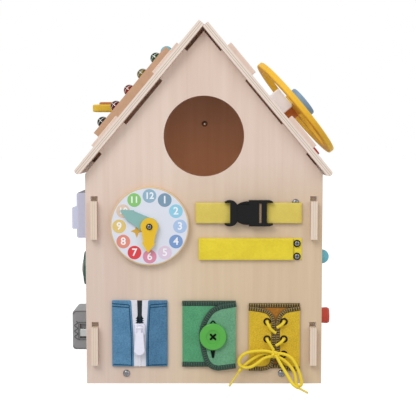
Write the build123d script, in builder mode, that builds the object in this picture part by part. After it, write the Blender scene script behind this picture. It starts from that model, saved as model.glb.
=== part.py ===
from build123d import *
import os
from math import cos, sin, tan, radians

os.makedirs("parts", exist_ok=True)

# A house-shaped wooden activity board. X runs along the front, Y from front to back,
# Z up. The origin is on the floor under the middle of the house. Millimetres.

# ---- plywood house ----
ply = 8.0
house_width = 290.0
house_depth = 256.0
shoulder_height = 259.2
roof_pitch = 50.0
porthole_radius = 49.0
porthole_height = 305.4
wall_inset = 11.0
slot_fit = 0.2
edge_break = 0.5

hook_slot_bottoms = (27.5, 182.8)
hook_slot_height = 49.4
hook_drop = 3.1
hook_headroom = 6.0
hook_reach = 9.0

roof_length = 236.4
roof_overhang = 12.0
left_roof_gap = 4.2
right_roof_gap = 2.0
ridge_lap = 2.7
roof_tab_centres = (54.8, 170.3)
roof_tab_length = 46.6
roof_tab_rise = 16.5
eave_round = 3.4

base_height = 9.0
base_screw_x = 95.7

# ---- screws ----
shank_radius = 1.7
shank_fit = 0.05
pan_head_radius = 4.4
pan_head_height = 2.6
base_screw_length = 26.0
panel_screw_length = 7.0
bolt_radius = 2.5
bolt_fit = 0.06
nut_radius = 4.4
nut_height = 5.0

# ---- clock ----
clock_x = -66.0
clock_height = 196.0
clock_radius = 48.3
clock_thickness = 8.0
hand_thickness = 2.6
hand_gap = 0.4
hand_head_radius = 10.6
hand_fit = 0.06
minute_hand_length = 40.0
hour_hand_length = 31.0
minute_hand_angle = 150.5
hour_hand_angle = -93.0

# ---- buckle strap ----
webbing_width = 25.0
webbing_thickness = 1.4
strap_height = 212.0
strap_left_end = -10.4
strap_margin = 10.4
strap_stand_off = 3.2
strap_screw_inset = 7.6
strap_screw_rise = 12.4
buckle_left = 25.2
buckle_waist = 40.8
buckle_window = 54.8
buckle_right = 83.7
buckle_width = 31.8
buckle_front = 10.4
buckle_back = 0.8
buckle_wall = 2.0
buckle_fit = 0.3
plug_travel = 14.0
plug_mouth = 6.7
plug_shoulder = 13.7
plug_waist = 9.9
prong_root = 7.6
prong_neck = 9.6
prong_bulge = 13.5
prong_reach = 14.2
prong_tip = 12.2

# ---- hook-and-loop strap ----
velcro_height = 167.7
velcro_width = 26.4
velcro_base_left = -4.5
velcro_margin = 10.3
velcro_base_thickness = 1.2
velcro_flap_left = -6.3
velcro_hinge_inset = 11.8
velcro_flap_thickness = 3.0
velcro_gap = 0.2
velcro_screw_inset = 5.8
velcro_screw_drop = 1.2
velcro_screw_spacing = 15.8

# ---- fabric panels ----
cloth = 1.5
flap_cloth = 2.0
cloth_gap = 0.1
zip_x = -78.9
zip_panel_width = 68.5
zip_panel_bottom = 22.2
zip_panel_top = 104.5
zip_opening = 16.2
zip_tape_thickness = 1.0
zip_teeth_width = 1.5
zip_teeth_height = 1.0
zip_slider_height = 68.5
zip_slider_length = 14.6
zip_slider_width = 13.0
zip_slider_thickness = 3.6
zip_pull_length = 34.0
zip_pull_width = 12.4
zip_pull_thickness = 2.0
zip_pin_radius = 0.8
zip_pin_fit = 0.06

button_panel_x = 6.3
button_panel_width = 65.6
button_panel_bottom = 22.4
button_panel_top = 103.5
button_flap_edge = -5.8
button_flap_hump = 17.6
button_flap_shoulder = 20.7
button_flap_start = 4.3
button_flap_start_x = 8.0
button_flap_round = 6.3
button_x = 11.1
button_height = 60.3
button_radius = 16.5
button_thickness = 4.4
button_ring_radius = 8.6
button_hole_pitch = 6.4
buttonhole_length = 46.0
buttonhole_drop = 3.0
thread_radius = 2.0

lace_panel_margin = 12.15
lace_panel_width = 62.5
lace_panel_bottom = 17.2
lace_backing_lift = 2.8
lace_flap_drop = 3.2
lace_panel_top = 100.2
lace_meet_offset = 1.6
lace_flap_sweep = 24.0
lace_flap_round = 16.0
eyelet_rows = (78.2, 56.6, 37.6)
eyelet_left_out = 10.6
eyelet_right_out = 10.1
eyelet_radius = 4.6
eyelet_bore = 2.6
lace_radius = 1.85
aglet_radius = 1.2
left_aglet_length = 22.4
right_aglet_length = 14.2

# ---- left wall ----
wall_item_y = -68.0
switch_depth = 86.0
switch_bottom = 175.0
switch_tall = 58.0
switch_proud = 26.0
switch_key_size = 28.5
switch_key_height = 198.1
switch_key_y = -24.0
switch_key_proud = 10.0
switch_key_travel = 4.0
key_fit = 0.3
dial_y = -72.0
dial_height = 137.0
dial_radius = 21.3
dial_rim = 11.3
dial_dome = 12.6
dial_taper = 80
dial_stand_off = 3.4
dial_cap_radius = 7.0
dial_cap_thickness = 2.1
latch_depth = 52.0
latch_bottom = 29.8
latch_tall = 51.0
latch_proud = 32.9
latch_round = 5.0
latch_window_near = 10.0
latch_window_width = 16.0
latch_window_bottom = 44.0
latch_window_height = 19.5
latch_window_recess = 4.5
latch_slider_height = 10.0
latch_slider_rest = 3.0

# ---- right wall ----
door_front_y = -66.0
door_width = 100.0
door_bottom = 98.0
door_tall = 98.0
door_gap = 0.8
door_knob_y = -50.0
door_knob_height = 148.9
ball_radius = 9.2
ball_centre_out = 15.6
knob_stem_radius = 4.5
hinge_leaf = 1.0
hinge_leaf_width = 12.0
hinge_tall = 18.0
hinge_rise = 22.0
hinge_knuckle = 2.0
hinge_pin_radius = 1.1
hinge_fit = 0.06
turn_knob_y = -28.0
turn_knob_height = 67.3
turn_knob_radius = 10.8
turn_knob_root = 8.6
turn_knob_length = 28.0
spindle_radius = 3.0
collar_radius = 6.0
collar_thickness = 2.5

# ---- left roof ----
rail_start = 42.2
rail_length = 140.6
rail_front_y = -90.0
rail_width = 30.0
rail_height = 15.0
channel_wall = 2.2
channel_depth = 11.5
channel_end = 7.0
bell_count = 5
bell_margin_high = 18.7
bell_margin_low = 17.1
bell_radius = 7.2
bell_wall = 0.6
bell_slit = 1.6
bell_reach = 11.0
bell_lean = 60.0
bell_neck_radius = 2.4
wire_radius = 0.8
wire_height = 10.0
wire_setback = 5.2
wire_fit = 0.06
pellet_radius = 2.0
peg_start = 44.8
peg_travel = 36.0
peg_y = -34.0
peg_ball_radius = 8.0
peg_ball_height = 14.1
peg_stem_radius = 3.0
track_fit = 0.4
paddle_axle_u = 137.0
paddle_axle_height = 10.6
paddle_axle_radius = 2.0
paddle_length = 39.5
paddle_width = 24.0
paddle_thickness = 9.5
paddle_round = 7.0
paddle_hub_radius = 5.6
paddle_front_y = -47.0
paddle_spacing = 28.0
paddle_bracket = 6.0
paddle_bracket_length = 14.0
paddle_bracket_height = 17.0
orange_paddle_length = 34.0
orange_paddle_rise = 4.2
paddle_edge_round = 2.0

# ---- right roof ----
wheel_u = 146.3
wheel_y = 0.0
wheel_radius = 76.0
wheel_rim = 12.5
wheel_thickness = 8.0
wheel_height = 22.8
wheel_hub_radius = 20.0
wheel_spoke = 17.0
spacer_radius = 10.5
wheel_cap_radius = 21.0
wheel_cap_thickness = 12.0
white_block_u = 126.2
white_block_length = 29.4
white_block_height = 22.0
white_block_y = -34.0
white_block_width = 30.0
red_plate_u = 190.0
red_plate_length = 32.0
red_plate_y = -85.0
red_plate_width = 40.0
red_plate_thickness = 5.0

# ---- back ----
spinner_height = 324.0
spinner_radius = 40.0
spinner_thickness = 8.0
spinner_petals = 8
spinner_stand_off = 2.0
spinner_hole_radius = 7.0

# ---- worked-out places ----
slope_cos = cos(radians(roof_pitch))
slope_sin = sin(radians(roof_pitch))
half_width = house_width / 2
wall_centre_x = half_width - wall_inset
front_y = -house_depth / 2
back_y = house_depth / 2
inner_y = back_y - ply
apex_height = shoulder_height + half_width * tan(radians(roof_pitch))
wall_outer = wall_centre_x + ply / 2
wall_inner = wall_centre_x - ply / 2
strap_right_end = wall_inner - strap_margin
strap_screw_x = strap_right_end - strap_screw_inset
velcro_base_right = wall_inner - velcro_margin
velcro_flap_hinge = velcro_base_right - velcro_hinge_inset
velcro_screw_x = velcro_base_right - velcro_screw_inset
lace_panel_x = wall_inner - lace_panel_margin - lace_panel_width / 2
lace_flap_meet = lace_panel_x + lace_meet_offset
eyelet_left_x = lace_flap_meet - eyelet_left_out
eyelet_right_x = lace_flap_meet + eyelet_right_out
flap_back = cloth + cloth_gap
flap_front = flap_back + flap_cloth


def front_plane(out=0.0):
    """Plane over the front panel, out millimetres in front of it; local x is X, local y is Z."""
    return Plane.XZ.offset(-front_y + out)


def back_plane(out=0.0):
    """Plane over the back panel, facing out to the rear; local x is -X, local y is Z."""
    return Plane(origin=(0, back_y + out, 0), x_dir=(-1, 0, 0), z_dir=(0, 1, 0))


def wall_plane(side, out=0.0):
    """Plane over a side wall, facing out; local y is Z and local x is side times Y."""
    return Plane(origin=(side * (wall_outer + out), 0, 0), x_dir=(0, side, 0), z_dir=(side, 0, 0))


def roof_plane(side, height=0.0):
    """Plane over one slope, height above its underside; local x runs down the slope from
    the foot of the apex, local y is side times Y."""
    gap = left_roof_gap if side < 0 else right_roof_gap
    normal = Vector(side * slope_sin, 0, slope_cos)
    foot = Vector(0, 0, apex_height) + normal * (gap + height)
    return Plane(origin=foot, x_dir=(side * slope_cos, 0, -slope_sin), z_dir=normal)


def span(low, high):
    """Middle and length of a stretch."""
    return (low + high) / 2, high - low


def block(x_span, y_span, z_span, mode=Mode.ADD):
    """Box between three pairs of limits, in the open part."""
    x, x_size = span(*x_span)
    y, y_size = span(*y_span)
    z, z_size = span(*z_span)
    with Locations((x, y, z)):
        Box(x_size, y_size, z_size, mode=mode)


def save(builder, name):
    """Label a finished piece and write its file."""
    builder.part.label = name
    export_step(builder.part, f"parts/{name}.step")


def pan_screw(head_radius, head_height, shank_length):
    """Pan-head screw with a cross recess; its head stands on XY and its shank goes down."""
    with BuildPart() as screw:
        with BuildSketch(Plane.XZ):
            with BuildLine():
                Line((0, -shank_length), (shank_radius, -shank_length + 2 * shank_radius))
                Line((shank_radius, -shank_length + 2 * shank_radius), (shank_radius, 0))
                Line((shank_radius, 0), (head_radius, 0))
                Line((head_radius, 0), (head_radius, head_height * 0.35))
                ThreePointArc(
                    (head_radius, head_height * 0.35),
                    (head_radius * 0.72, head_height * 0.83),
                    (0, head_height),
                )
                Line((0, head_height), (0, -shank_length))
            make_face()
        revolve(axis=Axis.Z)
        recess = head_height * 0.6
        with Locations((0, 0, head_height)):
            Box(head_radius * 1.15, head_radius * 0.22, 2 * recess, mode=Mode.SUBTRACT)
            Box(head_radius * 0.22, head_radius * 1.15, 2 * recess, mode=Mode.SUBTRACT)
    return screw.part


def screw_hole_radius():
    """Pilot hole of every small screw."""
    return shank_radius + shank_fit


# ---- where the small screws of the front and back panels go ----
base_screw_points = [(side * base_screw_x, base_height + ply / 2) for side in (-1, 1)]
strap_screw_point = (strap_screw_x, strap_height + strap_screw_rise)
velcro_screw_points = [
    (velcro_screw_x, velcro_height - velcro_screw_drop + side * velcro_screw_spacing / 2)
    for side in (1, -1)
]

# ---- front and back panels ----
for name, plane in (("front_panel", front_plane()), ("back_panel", back_plane())):
    is_front = name == "front_panel"
    with BuildPart() as panel:
        with BuildSketch(plane):
            with BuildLine():
                Polyline(
                    (-half_width, 0),
                    (half_width, 0),
                    (half_width, shoulder_height),
                    (0, apex_height),
                    (-half_width, shoulder_height),
                    close=True,
                )
            make_face()
            for side in (-1, 1):
                for down in roof_tab_centres:
                    foot_x = side * down * slope_cos
                    foot_z = apex_height - down * slope_sin
                    lift = roof_tab_rise / 2 - ply / 2
                    tab_x = foot_x + side * lift * slope_sin
                    tab_z = foot_z + lift * slope_cos
                    with Locations(Location((tab_x, tab_z), -side * roof_pitch)):
                        Rectangle(roof_tab_length, roof_tab_rise + ply)
                for bottom in hook_slot_bottoms:
                    with Locations((side * wall_centre_x, bottom + hook_slot_height / 2)):
                        Rectangle(ply + 2 * slot_fit, hook_slot_height, mode=Mode.SUBTRACT)
            with Locations(*base_screw_points):
                Circle(screw_hole_radius(), mode=Mode.SUBTRACT)
            if is_front:
                with Locations((0, porthole_height)):
                    Circle(porthole_radius, mode=Mode.SUBTRACT)
                with Locations((clock_x, clock_height), strap_screw_point, *velcro_screw_points):
                    Circle(screw_hole_radius(), mode=Mode.SUBTRACT)
            else:
                with Locations((0, spinner_height)):
                    Circle(bolt_radius + bolt_fit, mode=Mode.SUBTRACT)
        extrude(amount=-ply)
        outer = panel.faces().sort_by(Axis.Y)[0 if is_front else -1]
        chamfer(outer.outer_wire().edges(), edge_break)
    save(panel, name)

# ---- side walls: the top edge meets the underside of its roof ----
for side, name in ((-1, "left_wall"), (1, "right_wall")):
    gap = left_roof_gap if side < 0 else right_roof_gap
    wall_top = apex_height + gap / slope_cos - wall_outer * tan(radians(roof_pitch)) - slot_fit
    with BuildPart() as wall:
        with BuildSketch(wall_plane(side)):
            with Locations((0, wall_top / 2)):
                Rectangle(2 * inner_y, wall_top)
            for end in (-1, 1):
                for bottom in hook_slot_bottoms:
                    neck_top = bottom + hook_slot_height - hook_headroom
                    neck_y, neck_length = span(inner_y - ply, back_y + hook_reach)
                    with Locations((end * neck_y, (bottom + neck_top) / 2)):
                        Rectangle(neck_length, neck_top - bottom)
                    hook_y, hook_length = span(back_y, back_y + hook_reach)
                    with Locations((end * hook_y, (bottom - hook_drop + neck_top) / 2)):
                        Rectangle(hook_length, neck_top - bottom + hook_drop)
            if side < 0:
                with Locations((side * dial_y, dial_height)):
                    Circle(bolt_radius + bolt_fit, mode=Mode.SUBTRACT)
            else:
                door_centre = (door_front_y + door_width / 2, door_bottom + door_tall / 2)
                with Locations(door_centre):
                    Rectangle(
                        door_width + 2 * door_gap, door_tall + 2 * door_gap, mode=Mode.SUBTRACT
                    )
                with Locations((turn_knob_y, turn_knob_height)):
                    Circle(spindle_radius + bolt_fit, mode=Mode.SUBTRACT)
        extrude(amount=-ply)
    save(wall, name)

# ---- base board inside ----
with BuildPart() as base_board:
    with BuildSketch(Plane.XY.offset(base_height)):
        Rectangle(2 * (wall_inner - slot_fit), 2 * (inner_y - slot_fit))
    extrude(amount=ply)
    for plane in (front_plane(), back_plane()):
        with BuildSketch(plane):
            with Locations(*base_screw_points):
                Circle(screw_hole_radius())
        extrude(amount=-base_screw_length - 1, mode=Mode.SUBTRACT)
save(base_board, "base_board")

# ---- steel screws: four in the base board, one behind the strap end ----
base_screw = pan_screw(pan_head_radius, pan_head_height, base_screw_length)
panel_screw = pan_screw(pan_head_radius, pan_head_height, panel_screw_length)
with BuildPart() as steel_screws:
    for plane in (front_plane(), back_plane()):
        for x, z in base_screw_points:
            with Locations(plane.location * Location((x, z, 0))):
                add(base_screw)
    with Locations(front_plane().location * Location((*strap_screw_point, 0))):
        add(panel_screw)
save(steel_screws, "steel_screws")

# ---- roof panels ----
ridge_x = (right_roof_gap - left_roof_gap) / (2 * slope_sin)
ridge_rise = (left_roof_gap + right_roof_gap) / (2 * slope_cos)
roof_starts = {
    -1: -ridge_x * slope_cos - ridge_rise * slope_sin - ridge_lap,
    1: ridge_x * slope_cos - ridge_rise * slope_sin + slot_fit,
}
for side, name in ((-1, "left_roof"), (1, "right_roof")):
    start = roof_starts[side]
    with BuildPart() as roof:
        with BuildSketch(roof_plane(side)):
            with Locations((start + roof_length / 2, 0)):
                Rectangle(roof_length, 2 * (back_y + roof_overhang))
            for end in (-1, 1):
                for down in roof_tab_centres:
                    with Locations((down, end * (back_y - ply / 2))):
                        Rectangle(
                            roof_tab_length + 2 * slot_fit,
                            ply + 2 * slot_fit,
                            mode=Mode.SUBTRACT,
                        )
            if side < 0:
                with Locations((peg_start + peg_travel / 2, side * peg_y)):
                    SlotCenterToCenter(
                        peg_travel, 2 * (peg_stem_radius + track_fit), mode=Mode.SUBTRACT
                    )
            else:
                with Locations((wheel_u, wheel_y)):
                    Circle(bolt_radius + bolt_fit, mode=Mode.SUBTRACT)
        extrude(amount=ply)
        low_edges = roof.edges().filter_by(Axis.Y).sort_by(Axis.Z)[:2]
        fillet(low_edges, eave_round)
    save(roof, name)

# ---- clock: disc, two hands, screw ----
with BuildPart() as clock_face:
    with BuildSketch(front_plane()):
        with Locations((clock_x, clock_height)):
            Circle(clock_radius)
            Circle(screw_hole_radius(), mode=Mode.SUBTRACT)
    extrude(amount=clock_thickness)
    rim = clock_face.edges().filter_by(GeomType.CIRCLE).group_by(SortBy.LENGTH)[-1]
    fillet(rim.sort_by(Axis.Y)[0], 1.2)
save(clock_face, "clock_face")


def clock_hand(name, level, angle, length, neck, barb):
    """Flat wooden hand with a round head, a tapering neck and an arrow tip."""
    place = Plane(
        origin=(clock_x, front_y - level, clock_height),
        x_dir=(cos(radians(angle)), 0, sin(radians(angle))),
        z_dir=(0, -1, 0),
    )
    with BuildPart() as hand:
        with BuildSketch(place):
            Circle(hand_head_radius)
            with BuildLine():
                Polyline(
                    (0, hand_head_radius - 0.5),
                    (length * 0.62, neck),
                    (length * 0.66, barb),
                    (length, 0.8),
                    (length, -0.8),
                    (length * 0.66, -barb),
                    (length * 0.62, -neck),
                    (0, -hand_head_radius + 0.5),
                    close=True,
                )
            make_face()
            Circle(shank_radius + hand_fit, mode=Mode.SUBTRACT)
        extrude(amount=hand_thickness)
    save(hand, name)


minute_level = clock_thickness + hand_gap
hour_level = minute_level + hand_thickness + hand_gap
clock_screw_level = hour_level + hand_thickness + hand_gap
clock_hand("minute_hand", minute_level, minute_hand_angle, minute_hand_length, 6.9, 7.6)
clock_hand("hour_hand", hour_level, hour_hand_angle, hour_hand_length, 6.4, 7.8)

# ---- black screws: the clock's pivot and the two of the hook-and-loop strap ----
clock_screw = pan_screw(3.7, 2.2, clock_screw_level + ply - 1)
with BuildPart() as black_screws:
    clock_seat = front_plane(clock_screw_level).location
    with Locations(clock_seat * Location((clock_x, clock_height, 0))):
        add(clock_screw)
    strap_seat = front_plane(velcro_base_thickness).location
    for x, z in velcro_screw_points:
        with Locations(strap_seat * Location((x, z, 0))):
            add(panel_screw)
save(black_screws, "black_screws")

# ---- buckle strap: two webbing ends, socket and plug ----
strap_low = strap_height - webbing_width / 2
strap_high = strap_height + webbing_width / 2
strap_back = front_y - strap_stand_off
strap_face = strap_back - webbing_thickness
plug_strap_end = buckle_left + 8.8
ladder_slot = (66.9, 70.2)
ladder_bar = (70.2, 76.2)

with BuildPart() as buckle_strap_left:
    with BuildSketch(Plane.XY.offset(strap_low)):
        with BuildLine():
            Polyline(
                (strap_left_end, front_y),
                (strap_left_end, strap_face),
                (plug_strap_end, strap_face),
                (plug_strap_end, strap_back),
                (strap_left_end + 2 * webbing_thickness, strap_back),
                (strap_left_end + 2 * webbing_thickness, front_y),
                close=True,
            )
        make_face()
    extrude(amount=webbing_width)
save(buckle_strap_left, "buckle_strap_left")

with BuildPart() as buckle_strap_right:
    with BuildSketch(Plane.XY.offset(strap_low)):
        with BuildLine():
            Polyline(
                (strap_right_end, front_y),
                (strap_right_end, strap_face),
                (ladder_bar[1] + buckle_fit, strap_face),
                (ladder_bar[1] + buckle_fit, strap_back),
                (strap_right_end - 2 * webbing_thickness, strap_back),
                (strap_right_end - 2 * webbing_thickness, front_y),
                close=True,
            )
        make_face()
    extrude(amount=webbing_width)
save(buckle_strap_right, "buckle_strap_right")

buckle_low = strap_height - buckle_width / 2
buckle_high = strap_height + buckle_width / 2
buckle_y = (front_y - buckle_front, front_y - buckle_back)
cavity_y = (buckle_y[0] + buckle_wall, buckle_y[1] - buckle_wall)
tongue_y = (cavity_y[0] + buckle_fit, cavity_y[1] - buckle_fit)
guide_half = 7.0
window_half = 10.6
strap_slot_y = (strap_face - buckle_fit, strap_back + buckle_fit)
strap_slot_z = (strap_low - buckle_fit, strap_high + buckle_fit)

with BuildPart() as buckle_socket:
    with BuildSketch(front_plane(buckle_back)):
        with BuildLine():
            Polyline(
                (buckle_window, buckle_low),
                (buckle_right - 4, buckle_low),
                (buckle_right, buckle_low + 1.6),
                (buckle_right, strap_slot_z[0]),
                (ladder_bar[1], strap_slot_z[0]),
                (ladder_bar[1], strap_slot_z[1]),
                (buckle_right, strap_slot_z[1]),
                (buckle_right, buckle_high - 1.6),
                (buckle_right - 4, buckle_high),
                (buckle_window, buckle_high),
                close=True,
            )
        make_face()
        window_x, window_length = span(buckle_waist + buckle_fit, buckle_window + 1)
        with Locations((window_x, strap_height)):
            Rectangle(window_length, 2 * window_half)
        slot_x, slot_length = span(*ladder_slot)
        with Locations((slot_x, strap_height)):
            Rectangle(slot_length, webbing_width - 1, mode=Mode.SUBTRACT)
    extrude(amount=buckle_front - buckle_back)
    block(
        (buckle_waist, ladder_slot[0] - 2.4),
        cavity_y,
        (buckle_low + 1.6, buckle_high - 1.6),
        mode=Mode.SUBTRACT,
    )
    fillet(buckle_socket.edges().filter_by(Axis.Y).sort_by(Axis.X)[:2], 1.5)
save(buckle_socket, "buckle_socket")

prong_y = (tongue_y[0] + 0.8, tongue_y[1] - 0.8)
with BuildPart() as buckle_plug:
    with BuildSketch(front_plane(buckle_back)):
        with BuildLine():
            for side in (-1, 1):
                ThreePointArc(
                    (buckle_left, strap_height + side * plug_shoulder),
                    (buckle_left + 7.3, strap_height + side * buckle_width / 2),
                    (buckle_waist, strap_height + side * plug_waist),
                )
            for x, rise in ((buckle_left, plug_shoulder), (buckle_waist, plug_waist)):
                Line((x, strap_height - rise), (x, strap_height + rise))
        make_face()
        mouth_x, mouth_length = span(buckle_left - 1, buckle_left + plug_mouth)
        with Locations((mouth_x, strap_height)):
            Rectangle(mouth_length, webbing_width + 2 * buckle_fit, mode=Mode.SUBTRACT)
    extrude(amount=buckle_front - buckle_back)
    for side in (-1, 1):
        with BuildSketch(Plane.XZ.offset(-prong_y[1])):
            with BuildLine():
                neck = (buckle_waist - 1, strap_height + side * prong_neck)
                crest = (buckle_window - 1, strap_height + side * prong_reach)
                ThreePointArc(neck, (buckle_waist + 6, strap_height + side * prong_bulge), crest)
                Polyline(
                    crest,
                    (buckle_window + 5, strap_height + side * prong_tip),
                    (buckle_window + 5, strap_height + side * (prong_root + 1.8)),
                    (buckle_waist - 1, strap_height + side * prong_root),
                    neck,
                )
            make_face()
        extrude(amount=prong_y[1] - prong_y[0])
    block(
        (buckle_waist - 1, buckle_window + 4),
        tongue_y,
        (strap_height - guide_half, strap_height + guide_half),
    )
    block(
        (buckle_left - 1, plug_strap_end + plug_travel + buckle_fit),
        strap_slot_y,
        strap_slot_z,
        mode=Mode.SUBTRACT,
    )
save(buckle_plug, "buckle_plug")

# ---- hook-and-loop strap ----
velcro_low = velcro_height - velcro_width / 2
velcro_high = velcro_height + velcro_width / 2
with BuildPart() as velcro_base:
    with BuildSketch(front_plane()):
        x, length = span(velcro_base_left, velcro_base_right)
        with Locations((x, velcro_height)):
            Rectangle(length, velcro_width)
        with Locations(*velcro_screw_points):
            Circle(screw_hole_radius(), mode=Mode.SUBTRACT)
    extrude(amount=velcro_base_thickness)
save(velcro_base, "velcro_base")

flap_mid_y = front_y - velcro_base_thickness - velcro_gap - velcro_flap_thickness / 2
with BuildPart() as velcro_flap:
    with BuildSketch(Plane.XY.offset(velcro_low)):
        x, length = span(velcro_flap_left, velcro_flap_hinge)
        with Locations((x, flap_mid_y)):
            Rectangle(length, velcro_flap_thickness)
        with Locations((velcro_flap_hinge, flap_mid_y)):
            Circle(velcro_flap_thickness / 2)
    extrude(amount=velcro_width)
save(velcro_flap, "velcro_flap")

# ---- zipper panel ----
with BuildPart() as zip_panel:
    with BuildSketch(front_plane()):
        tall = zip_panel_top - zip_panel_bottom
        with Locations((zip_x, zip_panel_bottom + tall / 2)):
            Rectangle(zip_panel_width, tall)
    extrude(amount=cloth)
    with BuildSketch(front_plane(cloth)):
        side_width = (zip_panel_width - zip_opening) / 2
        for side in (-1, 1):
            x = zip_x + side * (zip_opening + side_width) / 2
            with Locations((x, zip_panel_bottom + tall / 2)):
                Rectangle(side_width, tall)
    extrude(amount=flap_cloth)
save(zip_panel, "zip_panel")

zip_fork = zip_slider_height + zip_slider_length / 2
zip_spread = 2.6
zip_tape_front = cloth + zip_tape_thickness
with BuildPart() as zip_tapes:
    for side in (-1, 1):
        edge = zip_opening / 2 - cloth_gap
        with BuildSketch(front_plane(cloth)):
            with BuildLine():
                Polyline(
                    (zip_x + side * edge, zip_panel_bottom),
                    (zip_x + side * cloth_gap, zip_panel_bottom),
                    (zip_x + side * cloth_gap, zip_fork),
                    (zip_x + side * zip_spread, zip_panel_top),
                    (zip_x + side * edge, zip_panel_top),
                    close=True,
                )
            make_face()
        extrude(amount=zip_tape_thickness)
        with BuildSketch(front_plane(zip_tape_front)):
            with BuildLine():
                Polyline(
                    (zip_x + side * cloth_gap, zip_panel_bottom),
                    (zip_x + side * zip_teeth_width, zip_panel_bottom),
                    (zip_x + side * zip_teeth_width, zip_fork),
                    (zip_x + side * (zip_spread + zip_teeth_width), zip_panel_top),
                    (zip_x + side * zip_spread, zip_panel_top),
                    (zip_x + side * cloth_gap, zip_fork),
                    close=True,
                )
            make_face()
        extrude(amount=zip_teeth_height)
save(zip_tapes, "zip_tapes")

slider_back = zip_tape_front + 0.3
slider_low = zip_slider_height - zip_slider_length / 2
slider_high = zip_slider_height + zip_slider_length / 2
slider_front = slider_back + zip_slider_thickness
zip_pin_out = slider_front + 2.6
zip_pin_height = slider_high - 4.0
zip_groove = zip_spread + zip_teeth_width + 0.3
zip_eye_radius = 2.2
zip_eye_width = 4.6
with BuildPart() as zip_slider:
    with BuildSketch(front_plane(slider_back)):
        with Locations((zip_x, zip_slider_height)):
            RectangleRounded(zip_slider_width, zip_slider_length, 2.4)
    extrude(amount=zip_slider_thickness)
    fillet(zip_slider.faces().sort_by(Axis.Y)[0].edges(), 0.9)
    block(
        (zip_x - zip_groove, zip_x + zip_groove),
        (front_y - slider_back - zip_teeth_height, front_y - slider_back + 1),
        (slider_low - 1, slider_high + 1),
        mode=Mode.SUBTRACT,
    )
    ear = 1.4
    for side in (-1, 1):
        x_in = zip_x + side * (zip_eye_width / 2 + 0.2)
        with BuildSketch(Plane.YZ.offset(x_in)):
            with Locations((front_y - zip_pin_out, zip_pin_height)):
                Circle(1.8)
            base_y, base_length = span(front_y - zip_pin_out, front_y - slider_front + 0.5)
            with Locations((base_y, zip_pin_height)):
                Rectangle(base_length, 3.6)
        extrude(amount=side * ear)
    with BuildSketch(Plane.YZ.offset(zip_x - zip_eye_width / 2 - 0.4)):
        with Locations((front_y - zip_pin_out, zip_pin_height)):
            Circle(zip_pin_radius)
    extrude(amount=zip_eye_width + 0.8)
save(zip_slider, "zip_slider")

with BuildPart() as zip_pull:
    with BuildSketch(Plane.YZ.offset(zip_x - zip_eye_width / 2)):
        with Locations((front_y - zip_pin_out, zip_pin_height)):
            Circle(zip_eye_radius)
    extrude(amount=zip_eye_width)
    pull_back = zip_pin_out - zip_pull_thickness / 2
    with BuildSketch(front_plane(pull_back)):
        with Locations((zip_x, zip_pin_height - 4.5)):
            Rectangle(zip_eye_width, 9)
        tab_low = zip_pin_height - zip_pull_length
        with BuildLine():
            half = zip_pull_width / 2
            Polyline((zip_x - half * 0.72, zip_pin_height - 6), (zip_x - half, tab_low + half))
            ThreePointArc(
                (zip_x - half, tab_low + half),
                (zip_x, tab_low),
                (zip_x + half, tab_low + half),
            )
            Polyline((zip_x + half, tab_low + half), (zip_x + half * 0.72, zip_pin_height - 6))
            Line((zip_x + half * 0.72, zip_pin_height - 6), (zip_x - half * 0.72, zip_pin_height - 6))
        make_face()
    extrude(amount=zip_pull_thickness)
    with BuildSketch(Plane.YZ.offset(zip_x - zip_eye_width)):
        with Locations((front_y - zip_pin_out, zip_pin_height)):
            Circle(zip_pin_radius + zip_pin_fit)
    extrude(amount=2 * zip_eye_width, mode=Mode.SUBTRACT)
save(zip_pull, "zip_pull")

# ---- button panel ----
button_panel_left = button_panel_x - button_panel_width / 2
button_panel_right = button_panel_x + button_panel_width / 2
with BuildPart() as button_panel:
    with BuildSketch(front_plane()):
        tall = button_panel_top - button_panel_bottom
        with Locations((button_panel_x, button_panel_bottom + tall / 2)):
            Rectangle(button_panel_width, tall)
    extrude(amount=cloth + flap_cloth)
save(button_panel, "button_panel")

button_flap_back = cloth + flap_cloth + cloth_gap
button_flap_front = button_flap_back + flap_cloth
with BuildPart() as button_flap:
    with BuildSketch(front_plane(button_flap_back)):
        with BuildLine():
            corner = (button_panel_right, button_panel_top - 0.8)
            start = (button_x + button_flap_start_x, button_panel_top - button_flap_start)
            shoulder = (button_flap_edge + button_flap_round, button_panel_top - button_flap_shoulder)
            waist = (button_flap_edge, button_height)
            foot = (button_flap_edge + button_flap_round, button_panel_bottom + 8)
            hump = (button_x + 6, button_flap_hump)
            Spline(start, shoulder, waist, foot, hump, tangents=((-1, -0.2), (1, -0.05)))
            Polyline(hump, (button_panel_right, button_panel_bottom - 1.6), corner, start)
        make_face()
        with Locations((button_x, button_height - buttonhole_drop)):
            SlotOverall(
                buttonhole_length, 2 * thread_radius + 0.8, rotation=90, mode=Mode.SUBTRACT
            )
    extrude(amount=flap_cloth)
save(button_flap, "button_flap")

button_back = button_flap_front + 0.4
with BuildPart() as button:
    with BuildSketch(front_plane(button_back)):
        with Locations((button_x, button_height)):
            Circle(button_radius)
    extrude(amount=button_thickness)
    fillet(button.edges().filter_by(GeomType.CIRCLE), 1.4)
    with BuildSketch(front_plane(button_back + button_thickness - 1.2)):
        with Locations((button_x, button_height)):
            Circle(button_ring_radius)
    extrude(amount=1.2, mode=Mode.SUBTRACT)
    with BuildSketch(front_plane(button_back)):
        with Locations((button_x, button_height)):
            with GridLocations(button_hole_pitch, button_hole_pitch, 2, 2):
                Circle(0.9)
    extrude(amount=button_thickness, mode=Mode.SUBTRACT)
    with BuildSketch(front_plane(button_flap_back - cloth_gap + 0.05)):
        with Locations((button_x, button_height)):
            Circle(thread_radius)
    extrude(amount=button_back - button_flap_back + cloth_gap)
save(button, "button")

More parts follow.
